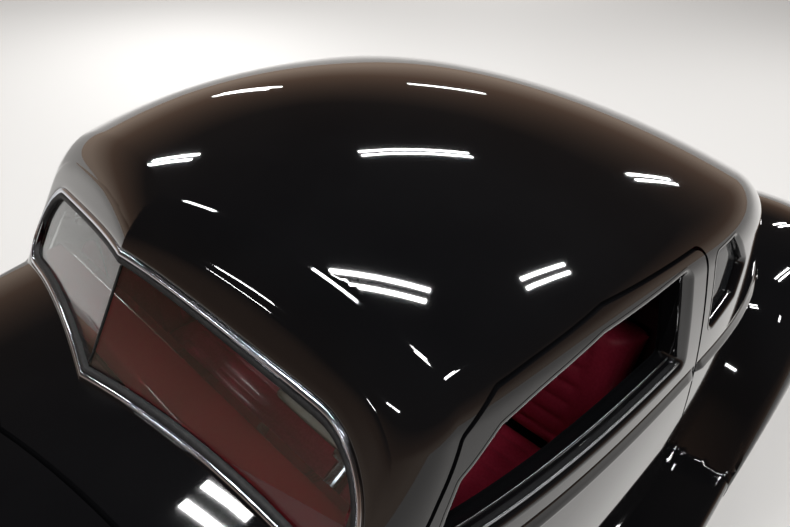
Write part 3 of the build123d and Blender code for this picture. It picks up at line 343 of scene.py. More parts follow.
class Surface:
    """Smooth surface through a table of sections, in millimetres."""

    def __init__(self, rows, section_distance):
        table = np.array(sorted(rows), float)
        self.x, self.values = table[:, 0], table[:, 1:]
        self.section_distance = section_distance
        step = np.diff(self.x)
        slopes = np.diff(self.values, axis=0) / step[:, None]
        left, right = np.eye(len(self.x)), np.zeros_like(self.values)
        for i in range(1, len(self.x) - 1):
            left[i, i - 1 : i + 2] = step[i - 1], 2 * (step[i - 1] + step[i]), step[i]
            right[i] = 6 * (slopes[i] - slopes[i - 1])
        self.bends = np.linalg.solve(left, right)

    def columns(self, x):
        """The section's columns at each x, on a natural cubic through the table."""
        x = np.clip(x, self.x[0], self.x[-1])
        i = np.clip(np.searchsorted(self.x, x) - 1, 0, len(self.x) - 2)
        step = self.x[i + 1] - self.x[i]
        a = ((self.x[i + 1] - x) / step)[:, None]
        b = 1 - a
        bend = (a**3 - a) * self.bends[i] + (b**3 - b) * self.bends[i + 1]
        return (a * self.values[i] + b * self.values[i + 1] + bend * step[:, None] ** 2 / 6).T

    def distance(self, points):
        """Distance of points outside the surface."""
        return self.section_distance(points, self.columns(points[:, 0]))

    def normal(self, points):
        """Unit outward direction of the surface nearest to each point."""
        slope = np.zeros_like(points)
        for axis in range(3):
            shift = np.zeros(3)
            shift[axis] = 0.5
            slope[:, axis] = self.distance(points + shift) - self.distance(points - shift)
        return slope / np.maximum(np.linalg.norm(slope, axis=1), 1e-9)[:, None]

    def side(self, x, z, depth=0.0):
        """Left side's points at (x, z), at a depth under the skin."""
        x, z = np.broadcast_arrays(np.asarray(x, float), np.asarray(z, float))
        depth = np.broadcast_to(depth, x.shape)
        near, far = np.full(x.shape, 300.0), np.full(x.shape, 1000.0)
        for _ in range(24):
            middle = (near + far) / 2
            out = self.distance(np.stack((x, middle, z), 1)) > -depth
            near, far = np.where(out, near, middle), np.where(out, middle, far)
        return np.stack((x, (near + far) / 2, z), 1)


SURFACES = {
    "hull": Surface(HULL, body_distance),
    "cabin": Surface(CABIN, cabin_distance),
    "opening": Surface(CABIN, opening_distance),
    "front_fender": Surface(FRONT_FENDER, front_fender_distance),
    "rear_fender": Surface(REAR_FENDER, rear_fender_distance),
}
# Flat cuts whose edges are rounded. Columns: surface, distance past the cut, rounding
CUTS = [
    ("cabin", before_screen, BROW),
    ("cabin", behind_tail, TAIL_ROUND),
    ("front_fender", past_nose_end, FENDER_ROUND),
    ("rear_fender", past_rear_end, FENDER_ROUND),
]
# Painted panels. Columns: node, body, surfaces that it follows
PANELS = [
    ("cowl", "chassis", ("cabin", "hull")),
    ("roof", "chassis", ("cabin",)),
    ("quarter_left", "chassis", ("cabin",)),
    ("quarter_right", "chassis", ("cabin",)),
    ("tail_panel", "chassis", ("cabin",)),
    ("deck_lid", "deck_lid", ("cabin",)),
    ("door_left", "door_left", ("cabin",)),
    ("door_right", "door_right", ("cabin",)),
    ("hood", "hood", ("hull",)),
    ("nose", "chassis", ("hull",)),
    ("front_fenders", "chassis", ("front_fender",)),
    ("rear_fenders", "chassis", ("rear_fender",)),
    ("running_boards", "chassis", ()),
]


def node_tree(material):
    """The material's empty node tree with a shader joined to its output."""
    material.use_nodes = True
    tree = material.node_tree
    tree.nodes.clear()
    out = tree.nodes.new("ShaderNodeOutputMaterial")
    shader = tree.nodes.new("ShaderNodeBsdfPrincipled")
    tree.links.new(shader.outputs["BSDF"], out.inputs["Surface"])
    return tree, shader


def noise(tree, scale):
    """Noise texture in object space."""
    where = tree.nodes.new("ShaderNodeTexCoord")
    texture = tree.nodes.new("ShaderNodeTexNoise")
    texture.inputs["Scale"].default_value = scale
    texture.inputs["Detail"].default_value = 4.0
    tree.links.new(where.outputs["Object"], texture.inputs["Vector"])
    return texture


def ramp(tree, source, low, high):
    """Two-colour ramp driven by a texture's factor."""
    band = tree.nodes.new("ShaderNodeValToRGB")
    band.color_ramp.elements[0].position = 0.35
    band.color_ramp.elements[0].color = (*low, 1)
    band.color_ramp.elements[1].position = 0.65
    band.color_ramp.elements[1].color = (*high, 1)
    tree.links.new(source, band.inputs["Fac"])
    return band.outputs["Color"]


def bump(tree, shader, height, distance):
    """Bump from a height output."""
    node = tree.nodes.new("ShaderNodeBump")
    node.inputs["Strength"].default_value = 0.4
    node.inputs["Distance"].default_value = distance
    tree.links.new(height, node.inputs["Height"])
    tree.links.new(node.outputs["Normal"], shader.inputs["Normal"])


def plain(name, low, high, roughness, metallic, coat, scale, depth):
    """Material whose colour drifts between two close tones, with optional fine bump."""
    material = bpy.data.materials.new(name)
    tree, shader = node_tree(material)
    grain = noise(tree, scale)
    tree.links.new(ramp(tree, grain.outputs["Fac"], low, high), shader.inputs["Base Color"])
    shader.inputs["Roughness"].default_value = roughness
    shader.inputs["Metallic"].default_value = metallic
    shader.inputs["IOR"].default_value = 1.5
    shader.inputs["Coat Weight"].default_value = coat
    shader.inputs["Coat Roughness"].default_value = 0.01
    if depth:
        bump(tree, shader, grain.outputs["Fac"], depth)
    return material


def glass(name, tint, clear):
    """Clear pane that lets light through and mirrors at low angles."""
    material = bpy.data.materials.new(name)
    tree, shader = node_tree(material)
    film = noise(tree, 4.0)
    darker = tuple(part * 0.94 for part in tint)
    tree.links.new(ramp(tree, film.outputs["Fac"], tint, darker), shader.inputs["Base Color"])
    shader.inputs["Roughness"].default_value = 0.0
    shader.inputs["Transmission Weight"].default_value = clear
    shader.inputs["IOR"].default_value = 1.5
    return material


# Plain materials. Columns: name, low tone, high tone, roughness, metallic, coat, scale of the grain, bump
PLAIN = [
    ("black_paint", (0.003, 0.003, 0.0035), (0.0045, 0.0045, 0.005), 0.04, 0, 1, 3, 0),
    ("bright_trim", (0.74, 0.78, 0.86), (0.84, 0.87, 0.94), 0.16, 1, 0, 12, 0),
    ("strip_metal", (0.5, 0.52, 0.56), (0.6, 0.62, 0.66), 0.34, 1, 0, 12, 0),
    ("frame_black", (0.012, 0.012, 0.012), (0.02, 0.02, 0.02), 0.4, 0, 0, 40, 0.0004),
    ("rubber", (0.012, 0.012, 0.013), (0.022, 0.022, 0.022), 0.6, 0, 0, 120, 0.0003),
    ("felt", (0.008, 0.008, 0.009), (0.016, 0.016, 0.017), 0.9, 0, 0, 400, 0.0004),
    ("engine_paint", (0.05, 0.05, 0.055), (0.08, 0.08, 0.085), 0.4, 0, 0, 20, 0),
    ("red_leather", (0.42, 0.022, 0.055), (0.5, 0.036, 0.075), 0.36, 0, 0.25, 160, 0.0005),
    ("red_paint", (0.2, 0.008, 0.013), (0.24, 0.01, 0.016), 0.1, 0, 1, 3, 0),
    ("carpet", (0.035, 0.006, 0.008), (0.07, 0.009, 0.014), 0.95, 0, 0, 300, 0.002),
    ("steel", (0.3, 0.3, 0.31), (0.4, 0.4, 0.41), 0.3, 1, 0, 60, 0),
    ("lamp_red", (0.3, 0.004, 0.004), (0.4, 0.008, 0.008), 0.1, 0, 1, 40, 0),
    ("ivory", (0.42, 0.4, 0.35), (0.5, 0.48, 0.42), 0.25, 0, 0.6, 20, 0),
    ("wheel_paint", (0.006, 0.006, 0.007), (0.01, 0.01, 0.011), 0.12, 0, 0.8, 8, 0),
    ("dial_white", (0.6, 0.58, 0.52), (0.68, 0.66, 0.6), 0.4, 0, 0, 40, 0),
]
# Glasses. Columns: name, tint, share of light let through
GLASSES = [
    ("lens_glass", (0.9, 0.9, 0.88), 0.9),
    ("clear_glass", (0.9, 0.95, 0.95), 1.0),
    ("tinted_glass", (0.06, 0.065, 0.07), 0.8),
]
MATERIALS = {row[0]: plain(*row) for row in PLAIN}
MATERIALS.update({row[0]: glass(*row) for row in GLASSES})
# CAD nodes by material
FINISHES = {
    "bright_trim": ("windshield_trim", "grille", "headlamps", "steering_column"),
    "clear_glass": ("windshield",),
    "tinted_glass": ("rear_glass",),
    "lamp_red": ("taillamps",),
    "frame_black": (
        "frame", "front_suspension", "rear_axle", "leaf_springs", "fuel_tank",
        "seat_frame", "steering_wheel", "knuckle_left", "knuckle_right",
    ),
    "engine_paint": ("engine",),
    "steel": ("gearbox_shaft", "exhaust"),
    "carpet": ("floor", "rear_shelf"),
    "red_leather": ("seat_base", "seat_back"),
    "red_paint": ("dashboard",),
}


def paint(obj, name):
    """Gives a piece one material."""
    obj.data.materials.clear()
    obj.data.materials.append(MATERIALS[name])


def new_piece(name, mesh, material, body):
    """Puts a mesh into the scene, painted, riding a body."""
    obj = bpy.data.objects.new(name, mesh)
    bpy.context.scene.collection.objects.link(obj)
    paint(obj, material)
    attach(obj, body)
    return obj


def mirrored_piece(source, name, body):
    """The same piece on the car's other side."""
    mesh = source.data.copy()
    mesh.transform(Matrix.Scale(-1, 4, (0, 1, 0)))
    mesh.flip_normals()
    obj = bpy.data.objects.new(name, mesh)
    bpy.context.scene.collection.objects.link(obj)
    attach(obj, body)
    return obj


def grid_mesh(name, rows, ring=False, tube=False):
    """Mesh through rows of points. A ring joins its last row to its first, a tube closes each row."""
    rows = np.asarray(rows, float) * MM
    count, width = rows.shape[:2]
    faces = []
    for i in range(count if ring else count - 1):
        for j in range(width if tube else width - 1):
            k, m = (i + 1) % count, (j + 1) % width
            faces.append((i * width + j, i * width + m, k * width + m, k * width + j))
    if tube and not ring:
        faces.append(tuple(range(width)))
        faces.append(tuple((count - 1) * width + j for j in reversed(range(width))))
    mesh = bpy.data.meshes.new(name)
    mesh.from_pydata([tuple(point) for point in rows.reshape(-1, 3)], [], faces)
    mesh.validate()
    bm = bmesh.new()
    bm.from_mesh(mesh)
    bmesh.ops.recalc_face_normals(bm, faces=bm.faces)
    bm.to_mesh(mesh)
    bm.free()
    mesh.shade_smooth()
    return mesh


def corner_normals(mesh):
    """Normals that smooth over gentle edges, and the arrays they came from."""
    loops, faces, points = len(mesh.loops), len(mesh.polygons), len(mesh.vertices)
    vertex = np.empty(loops, int)
    mesh.loops.foreach_get("vertex_index", vertex)
    size, area, way = np.empty(faces, int), np.empty(faces), np.empty(faces * 3)
    mesh.polygons.foreach_get("loop_total", size)
    mesh.polygons.foreach_get("area", area)
    mesh.polygons.foreach_get("normal", way)
    way = way.reshape(-1, 3)
    face = np.repeat(np.arange(faces), size)
    order = np.argsort(vertex, kind="stable")
    first = np.searchsorted(vertex[order], np.arange(points))
    degree = np.bincount(vertex, minlength=points)
    total = np.zeros((loops, 3))
    for step in range(degree.max()):
        there = degree[vertex] > step
        other = face[order[first[vertex[there]] + step]]
        same = np.einsum("ij,ij->i", way[other], way[face[there]]) > cos(radians(SMOOTH_LIMIT))
        total[there] += way[other] * (area[other] * same)[:, None]
    length = np.linalg.norm(total, axis=1)
    total = np.where(length[:, None] > 1e-12, total / np.maximum(length, 1e-12)[:, None], way[face])
    return total, vertex, face, way


def softened(x, z):
    """Places in side view, shifted where the door's outline runs softer."""
    shift_x, shift_z = np.zeros_like(x), np.zeros_like(z)
    for at_x, at_z, by_x, by_z in SOFT_CORNERS:
        near = np.exp(-((x - at_x) ** 2 + (z - at_z) ** 2) / (2 * SOFT_REACH**2))
        shift_x += by_x * near
        shift_z += by_z * near
    return x + shift_x, z + shift_z


def too_long(line):
    """Whether an edge needs a cut. Edges on the brow, at soft corners and at flat ends are kept short."""
    edge = SKIN_EDGE
    one, two = line.verts[0].co, line.verts[1].co
    x, y, z = (one.x + two.x) / 2, abs(one.y + two.y) / 2, (one.z + two.z) / 2
    if z > 1.0 and x > 0:
        at, out = SCREEN_POINT * MM, SCREEN_OUT
        ahead = (x - at[0]) * out[0] + y * out[1] + (z - at[2]) * out[2]
        if -0.06 < ahead < 0.003:
            edge = BROW_EDGE
    if z > 1.09 and abs(x - 0.07) < 0.13 and y > 0.45:
        edge = min(edge, CORNER_EDGE)
    if x < -2.18 or x > 2.185:
        edge = min(edge, END_EDGE)
    return (one - two).length > edge


def fine_copy(node):
    """Copy of a CAD node's mesh with long edges split."""
    mesh = nodes[node].data.copy()
    mesh.materials.clear()
    bm = bmesh.new()
    bm.from_mesh(mesh)
    bmesh.ops.remove_doubles(bm, verts=bm.verts, dist=1e-5)
    for _ in range(8):
        long = [line for line in bm.edges if too_long(line)]
        if not long:
            break
        bmesh.ops.subdivide_edges(bm, edges=long, cuts=1)
        bmesh.ops.triangulate(bm, faces=[face for face in bm.faces if len(face.verts) > 3])
    bm.to_mesh(mesh)
    bm.free()
    return mesh


def cuts_of(surface_name):
    """Flat cuts of one surface, each with the rounding of its edge."""
    return [(past, radius) for name, past, radius in CUTS if name == surface_name]


def panel(node, body, surface_names):
    """Painted panel: the CAD panel with its skin drawn out smooth between the sections."""
    mesh = fine_copy(node)
    places = np.empty(len(mesh.vertices) * 3)
    mesh.vertices.foreach_get("co", places)
    places = places.reshape(-1, 3) / MM
    solid = places.copy()
    if "cabin" in surface_names:
        places[:, 0], places[:, 2] = softened(places[:, 0], places[:, 2])
    for name in surface_names:
        surface = SURFACES[name]
        off = surface.distance(solid)
        share = np.clip((5 - np.abs(off)) / 2, 0, 1)
        for past, radius in cuts_of(name):
            beyond = past(solid)
            edge_zone = (beyond > -radius) & (beyond < 2) & (off > -2) & (off < 34)
            if past is before_screen:
                edge_zone &= solid[:, 2] > 1000
            share = np.where(beyond > 2, 0, np.where(edge_zone, 1, share))
        near = share > 0
        for _ in range(3):
            off = surface.distance(places[near])
            places[near] -= surface.normal(places[near]) * (off * share[near])[:, None]
    mesh.vertices.foreach_set("co", (places * MM).ravel())
    mesh.update()
    normals, vertex, face, way = corner_normals(mesh)
    centres = np.empty(len(mesh.polygons) * 3)
    mesh.polygons.foreach_get("center", centres)
    centres = centres.reshape(-1, 3) / MM
    best = np.full(len(centres), 0.93)
    for name in surface_names:
        surface = SURFACES[name]
        off = surface.distance(centres)
        match = np.einsum("ij,ij->i", surface.normal(centres), way)
        chosen = (np.abs(match) > best) & (off > -70) & (off < 8)
        for past, radius in cuts_of(name):
            beyond = past(centres)
            chosen &= (beyond < 1) & ((off > -3) | (beyond < -radius))
        best = np.where(chosen, np.abs(match), best)
        loops = chosen[face]
        sign = np.sign(match[face[loops]])[:, None]
        normals[loops] = surface.normal(places[vertex[loops]]) * sign
    mesh.polygons.foreach_set("use_smooth", np.ones(len(mesh.polygons), bool))
    mesh.normals_split_custom_set(normals.tolist())
    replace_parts(new_piece("skin_" + node, mesh, "black_paint", body), node)


def window_ring(outline, corner, inset):
    """Rounded outline in side view moved inwards. Its count of points doesn't depend on the inset."""
    points = np.array(outline, float)
    area = np.sum(points[:, 0] * np.roll(points[:, 1], -1) - np.roll(points[:, 0], -1) * points[:, 1])
    if area > 0:
        points = points[::-1]
    count = len(points)
    ways = np.roll(points, -1, 0) - points
    lengths = np.linalg.norm(ways, axis=1)
    ways = ways / lengths[:, None]
    inward = np.stack((ways[:, 1], -ways[:, 0]), 1)
    lines = points + inward * inset
    radius = max(corner - inset, 2.0)

    def corner_at(i):
        """Where the moved sides before and after point i meet, and half the turn between them."""
        before, after = ways[i - 1], ways[i]
        spread = before[0] * after[1] - before[1] * after[0]
        gap = lines[i] - lines[i - 1]
        tip = lines[i - 1] + before * (gap[0] * after[1] - gap[1] * after[0]) / spread
        return tip, np.arccos(np.clip(before @ after, -1, 1)) / 2

    path = []
    for i in range(count):
        tip, half = corner_at(i)
        start, finish = tip - ways[i - 1] * radius * np.tan(half), tip + ways[i] * radius * np.tan(half)
        middle = start + inward[i - 1] * radius
        a, b = start - middle, finish - middle
        for turn in np.linspace(0, 2 * half, CORNER_POINTS):
            path.append(middle + (a * sin(2 * half - turn) + b * sin(turn)) / sin(2 * half))
        tip, half = corner_at((i + 1) % count)
        stop = tip - ways[i] * radius * np.tan(half)
        for share in np.linspace(0, 1, max(int(lengths[i] / SIDE_STEP), 2) + 1)[1:-1]:
            path.append(finish + (stop - finish) * share)
    return np.array(path)


def window_reveal(name, body, outline, corner, profile):
    """Rolled edge round a side window, from the skin down to the glass."""
    columns = []
    for inset, depth in profile:
        path = window_ring(outline, corner, -inset)
        columns.append(SURFACES["cabin"].side(*softened(path[:, 0], path[:, 1]), depth))
    return new_piece(name, grid_mesh(name, np.stack(columns, 1), ring=True), "black_paint", body)


def belt(name, body, first, last):
    """Moulding that follows the side at the belt, with its wide face turned up."""
    x = np.linspace(first, last, int(abs(last - first) / 16))
    path = SURFACES["cabin"].side(x, BELT_Z)
    out = SURFACES["cabin"].normal(path)
    up = np.array((0.0, 0.0, 1.0)) - out * out[:, 2:3]
    up /= np.linalg.norm(up, axis=1)[:, None]
    ends = np.clip(np.minimum(np.arange(len(x)), np.arange(len(x))[::-1]), 0.25, 1)[:, None]
    columns = [path + up * height + out * (rise * ends) for height, rise in BELT_SECTION]
    return new_piece(name, grid_mesh(name, np.stack(columns, 1), tube=True), "black_paint", body)


def bar(name, body, path, half_width, half_height, material):
    """Bar along a path, with an oval section that stands upright."""
    path = np.asarray(path, float)
    ahead = np.gradient(path, axis=0)
    ahead /= np.linalg.norm(ahead, axis=1)[:, None]
    across = np.cross(ahead, (0.0, 0.0, 1.0))
    across /= np.linalg.norm(across, axis=1)[:, None]
    up = np.cross(across, ahead)
    columns = []
    for angle in np.linspace(0, 2 * pi, 8, endpoint=False):
        a, b = cos(angle), sin(angle)
        a, b = np.sign(a) * abs(a) ** 0.6, np.sign(b) * abs(b) ** 0.6
        columns.append(path + across * half_width * a + up * half_height * b)
    return new_piece(name, grid_mesh(name, np.stack(columns, 1), tube=True), material, body)


def sill_strips(body):
    """Weatherstrips along the sill of the lowered door window."""
    made = []
    x = np.linspace(*SILL_X, 40)
    for index, (depth, thick, rise, material) in enumerate(SILL_STRIPS):
        z = np.full_like(x, WINDOW_OUTLINE[0][1] + rise - 4)
        path = SURFACES["cabin"].side(x, z, depth)
        made.append(bar(f"sill_strip_{index}", body, path, thick / 2, 5, material))
    return made


def pillow(across, along, thick, pitch, bolster, crown):
    """Stuffed pad: x across, y along, z outwards. Rolls run across it between the bolsters."""
    a = np.linspace(-1, 1, 97)
    count = 12 * max(int(round(along / pitch)), 2) + 1
    b = np.linspace(-1, 1, count)
    a = np.sign(a) * np.abs(a) ** 0.85
    b_wide = np.sign(b) * np.abs(b) ** 0.92
    A, B = np.meshgrid(a, b_wide, indexing="ij")
    pull = 1 - 0.012 * (1 - B**2)
    X = A * across / 2 * pull
    Y = B * along / 2 * (1 - 0.01 * (1 - A**2))
    edge = (1 - np.abs(A) ** 14) ** 0.4 * (1 - np.abs(B) ** 14) ** 0.4
    rolls = np.abs(np.sin(pi * (Y + along / 2) / pitch)) ** 0.55
    inner = across / 2 - bolster
    in_rolls = 1 / (1 + np.exp((np.abs(X) - inner) / 3.0))
    ditch = np.exp(-(((np.abs(X) - inner) / 5.0) ** 2))
    roll = np.exp(-(((np.abs(X) - (across / 2 - bolster / 2)) / (bolster * 0.42)) ** 2))
    front = thick * 0.5 + crown * (1 - B**2) * 0.6 - 9 * in_rolls * (1 - rolls) - 7 * ditch + 10 * roll
    Z = front * edge
    back = -thick * 0.5 * edge
    top = np.stack((X, Y, Z), 2)
    low = np.stack((X, Y, back), 2)
    return top, low


def pad(name, node, centre, along_way, out_way, sizes):
    """One leather cushion placed by its middle and its directions, across the car."""
    top, low = pillow(*sizes)
    turn = np.array([(0, 1, 0), along_way, out_way], float)
    points = np.concatenate((top.reshape(-1, 3), low.reshape(-1, 3))) @ turn + np.array(centre, float)
    count, width = top.shape[:2]
    faces = []
    for layer in (0, 1):
        base = layer * count * width
        for i in range(count - 1):
            for j in range(width - 1):
                here, beside = base + i * width + j, base + (i + 1) * width + j
                quad = (here, beside, beside + 1, here + 1)
                faces.append(quad if layer == 0 else quad[::-1])
    mesh = bpy.data.meshes.new(name)
    mesh.from_pydata([tuple(point) for point in points * MM], [], faces)
    bm = bmesh.new()
    bm.from_mesh(mesh)
    bmesh.ops.remove_doubles(bm, verts=bm.verts, dist=2e-4)
    bmesh.ops.recalc_face_normals(bm, faces=bm.faces)
    bm.to_mesh(mesh)
    bm.free()
    mesh.shade_smooth()
    piece = new_piece(name, mesh, "red_leather", "chassis")
    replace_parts(piece, node)


def turned(name, body, centre, axis, profile, steps, material, sipes=False):
    """Piece turned about an axis through its centre. The profile has radius and place along the axis."""
    profile = np.array(profile, float)
    axis = Vector(axis).normalized()
    side = axis.orthogonal().normalized()
    third = np.array(axis.cross(side))
    axis, side = np.array(axis), np.array(side)
    rows = []
    for step in range(steps):
        radius, along = profile[:, 0].copy(), profile[:, 1]
        if sipes:
            reach = np.abs(along) / np.abs(along).max()
            cut = (radius > radius.max() - 12) & ((step + np.where(along > 0, 2, 0)) % SIPE_STEPS == 0)
            radius[cut & (reach > 0.5)] -= SIPE_DEEP
        turn = 2 * pi * step / steps
        way = side * cos(turn) + third * sin(turn)
        rows.append(np.array(centre) + np.outer(radius, way) + np.outer(along, axis))
    return new_piece(name, grid_mesh(name, rows, ring=True), material, body)


def tyres():
    """Tyres with rounded walls, grooved ribs and cut shoulders."""
    for end, x, z, radius, width, y in TYRES:
        half = width / 2
        tread = half - 30
        wall = [
            (RIM_R, half - 13),
            (RIM_R + 6, half - 7),
            (RIM_R + 16, half - 3.4),
            (RIM_R + 18, half - 1.6),
            (RIM_R + 21, half - 1.6),
            (RIM_R + 23, half - 2.6),
            (radius - 80, half - 0.6),
            (radius - 62, half),
            (radius - 46, half - 1.4),
            (radius - 43, half - 0.2),
            (radius - 40, half - 0.4),
            (radius - 37, half - 2.6),
            (radius - 24, half - 8),
            (radius - 14, half - 14),
            (radius - 6.5, half - 22),
            (radius - 3, half - 31),
        ]
        ribs = []
        for share in sorted(GROOVES, reverse=True):
            middle = share * tread
            ribs.append((radius - 2 * share, middle + GROOVE_HALF + 1))
            ribs.append((radius - GROOVE_DEEP, middle + GROOVE_HALF - 1))
            if share:
                ribs.append((radius - GROOVE_DEEP, middle - GROOVE_HALF + 1))
                ribs.append((radius - 2 * share, middle - GROOVE_HALF - 1))
        right = wall + ribs
        profile = right + [(r, -along) for r, along in reversed(right)]
        for side, sign in (("left", 1), ("right", -1)):
            name = f"tyre_{end}_{side}"
            body = f"road_wheel_{end}_{side}"
            centre = (x, sign * y, z)
            piece = turned("tread_" + name, body, centre, (0, 1, 0), profile, TYRE_STEPS, "rubber", True)
            piece.data.set_sharp_from_angle(angle=radians(28))
            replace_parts(piece, name)


def wheel_trims():
    """Domed cap over the hub and a bright ring round the rim of each wheel."""
    for end, x, z, radius, width, y in TYRES:
        face = (width - 26) / 2 - 46
        edge = (width - 26) / 2 + 9
        cap = [(96, face + 1), (97, face + 6), (92, face + 9), (86, face + 9.5), (80, face + 14)]
        cap += [(78 * cos(t), face + 14 + 27 * sin(t)) for t in np.linspace(0.05, pi / 2 - 0.01, 12)]
        ring = [(206, edge - 5), (206.5, edge + 1), (203, edge + 3), (197, edge + 2), (188, edge - 6)]
        ring += [(180, edge - 17), (174, edge - 27), (171, edge - 36)]
        for side, sign in (("left", 1), ("right", -1)):
            body, centre = f"road_wheel_{end}_{side}", (x, sign * y, z)
            for kind, profile in (("cap", cap), ("ring", ring)):
                turned(f"{kind}_{end}_{side}", body, centre, (0, sign, 0), profile, 64, "bright_trim")


def lamp_lenses():
    """Glass and bezels of the head and tail lamps."""
    for side, sign in (("left", 1), ("right", -1)):
        bezel = [(79, -14), (80, -6), (79, 1), (75, 4), (70, 3), (67.6, -1)]
        lens = [(68 * cos(t), 1 + 13 * sin(t)) for t in np.linspace(0.02, pi / 2 - 0.01, 12)]
        at = HEADLAMP_AT * (1, sign, 1)
        turned(f"headlamp_bezel_{side}", "chassis", at, (1, 0, 0), bezel, 64, "bright_trim")
        turned(f"headlamp_lens_{side}", "chassis", at, (1, 0, 0), lens, 64, "lens_glass")
        bezel = [(34, -2), (34.5, 3), (32, 6), (28, 5)]
        lens = [(29 * cos(t), 4 + 11 * sin(t)) for t in np.linspace(0.02, pi / 2 - 0.01, 10)]
        at = TAILLAMP_AT * (1, sign, 1)
        turned(f"taillamp_bezel_{side}", "chassis", at, (-1, 0, 0), bezel, 40, "bright_trim")
        turned(f"taillamp_lens_{side}", "chassis", at, (-1, 0, 0), lens, 40, "lamp_red")


def steering_wheel():
    """Round rim, three spokes of sprung wires and a bright boss."""
    tilt = radians(WHEEL_TILT)
    axis = np.array((-cos(tilt), 0, sin(tilt)))
    across = np.array((0.0, 1.0, 0.0))
    up = np.cross(axis, across)
    if up[2] < 0:
        up = -up
    centre = np.array(WHEEL_HUB) / MM
    angles = np.linspace(0, 2 * pi, 16, endpoint=False)
    profile = [(WHEEL_RIM_R + WHEEL_RIM * cos(a), WHEEL_RIM * sin(a)) for a in angles]
    rim = turned("wheel_rim", "steering_wheel", centre, axis, profile + profile[:1], 96, "ivory")
    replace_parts(rim, "steering_wheel")
    boss = [(WHEEL_BOSS, -24), (WHEEL_BOSS, -6), (WHEEL_BOSS - 3, 2)]
    boss += [((WHEEL_BOSS - 6) * cos(t), 3 + 12 * sin(t)) for t in np.linspace(0.1, pi / 2 - 0.02, 8)]
    turned("wheel_boss", "steering_wheel", centre, axis, boss, 48, "bright_trim")
    for spoke, angle in enumerate((90, 210, 330)):
        way = up * sin(radians(angle)) + across * cos(radians(angle))
        beside = np.cross(axis, way)
        for wire in range(4):
            off = (wire - 1.5) * 8
            path = [
                centre + way * reach + beside * off * (1 - 0.25 * bow) - axis * (10 - 8 * bow)
                for reach, bow in zip(np.linspace(WHEEL_BOSS - 6, WHEEL_RIM_R - 2, 9), np.linspace(0, 1, 9))
            ]
            bar(f"wheel_wire_{spoke}_{wire}", "steering_wheel", path, 2.2, 2.2, "bright_trim")


def dials():
    """Dials with bright bezels, pale faces, marks and needles in the dash."""
    for index, (y, z, radius) in enumerate(DIALS):
        at = (DASH_FACE_X, y, z)
        bezel = [(radius, -2), (radius + 1, 5), (radius - 2, 8), (radius - 6, 6), (radius - 7, 1)]
        face = [(radius - 5, 1.5), (radius * 0.5, 1.6), (0.5, 1.7)]
        turned(f"dial_bezel_{index}", "chassis", at, (-1, 0, 0), bezel, 48, "bright_trim")
        turned(f"dial_face_{index}", "chassis", at, (-1, 0, 0), face, 48, "dial_white")
        marks = []
        for step in range(9):
            angle = radians(-45 + step * 33.75)
            marks.append((angle, radius * 0.66, radius * 0.8, 1.4))
        marks.append((radians(20 + 40 * index), -radius * 0.12, radius * 0.6, 1.1))
        points, faces = [], []
        for angle, near, far, thick in marks:
            along = np.array((0, -cos(angle), sin(angle)))
            across = np.array((0, sin(angle), cos(angle)))
            base = np.array((DASH_FACE_X - 2.4, y, z))
            start = len(points)
            for reach, side in ((near, -1), (near, 1), (far, 1), (far, -1)):
                points.append((base + along * reach + across * side * thick) * MM)
            faces.append(tuple(range(start, start + 4)))
        mesh = bpy.data.meshes.new(f"dial_marks_{index}")
        mesh.from_pydata([tuple(point) for point in points], [], faces)
        new_piece(f"dial_marks_{index}", mesh, "felt", "chassis")


def door_card():
    """Pleated card on the inside of the left door."""
    x = np.linspace(*CARD_X, 127)
    z = np.linspace(*CARD_Z, 60)
    X, Z = (part.ravel() for part in np.meshgrid(x, z, indexing="ij"))
    pleat = np.abs(np.sin(pi * (X - CARD_X[0]) / CARD_PLEAT)) ** 0.6
    low, high = (Z - CARD_Z[0]) / 50, (CARD_Z[1] - Z) / 110
    inside = np.clip(np.minimum(low, high), 0, 1) ** 0.5
    near_edge = np.minimum.reduce((X - CARD_X[0], CARD_X[1] - X, Z - CARD_Z[0], CARD_Z[1] - Z))
    fall = np.clip(near_edge / 6, 0, 1) ** 0.5
    depth = CARD_DEPTHS[0] + (CARD_DEPTHS[1] - CARD_DEPTHS[0] + 5 * pleat * inside) * fall
    plain_skin = Surface(CABIN, body_distance)
    rows = plain_skin.side(X, Z, depth).reshape(len(x), len(z), 3)
    card = new_piece("door_card_left", grid_mesh("door_card_left", rows), "red_leather", "door_left")
    mirrored_piece(card, "door_card_right", "door_right")


def screen_band(name, material, section):
    """Band round one half of the windscreen opening, and its mirror image."""
    opening = SURFACES["opening"]
    ridge = SCREEN_SIDE * RIDGE_LEAN + SCREEN_UP
    middle = SCREEN_POINT + ridge * SCREEN_MIDDLE
    ridge = ridge / np.linalg.norm(ridge)
    aside = SCREEN_SIDE - ridge * (SCREEN_SIDE @ ridge)
    aside /= np.linalg.norm(aside)
    upper, outer, lower = np.linspace(0, 0.85, 60), np.linspace(0.85, 2.1, 90), np.linspace(2.1, pi, 70)
    turns = np.concatenate((upper, outer[1:], lower[1:]))
    ways = np.outer(np.cos(turns), ridge) + np.outer(np.sin(turns), aside)
    columns = []
    for inset, height in section:
        near, far = np.zeros(len(turns)), np.full(len(turns), 900.0)
        for _ in range(26):
            reach = (near + far) / 2
            out = opening.distance(middle + ways * reach[:, None]) > -inset
            near, far = np.where(out, near, reach), np.where(out, reach, far)
        places = middle + ways * near[:, None] + SCREEN_OUT * height
        if inset < 0:
            for _ in range(4):
                proud = np.maximum(SURFACES["cabin"].distance(places) - height, 0)
                places = places - SURFACES["cabin"].normal(places) * proud[:, None]
        columns.append(places)
    rows = np.stack(columns, 1)
    rows[0, :, 1] = rows[-1, :, 1] = 0
    half = new_piece(name + "_left", grid_mesh(name, rows), material, "chassis")
    return half, mirrored_piece(half, name + "_right", "chassis")


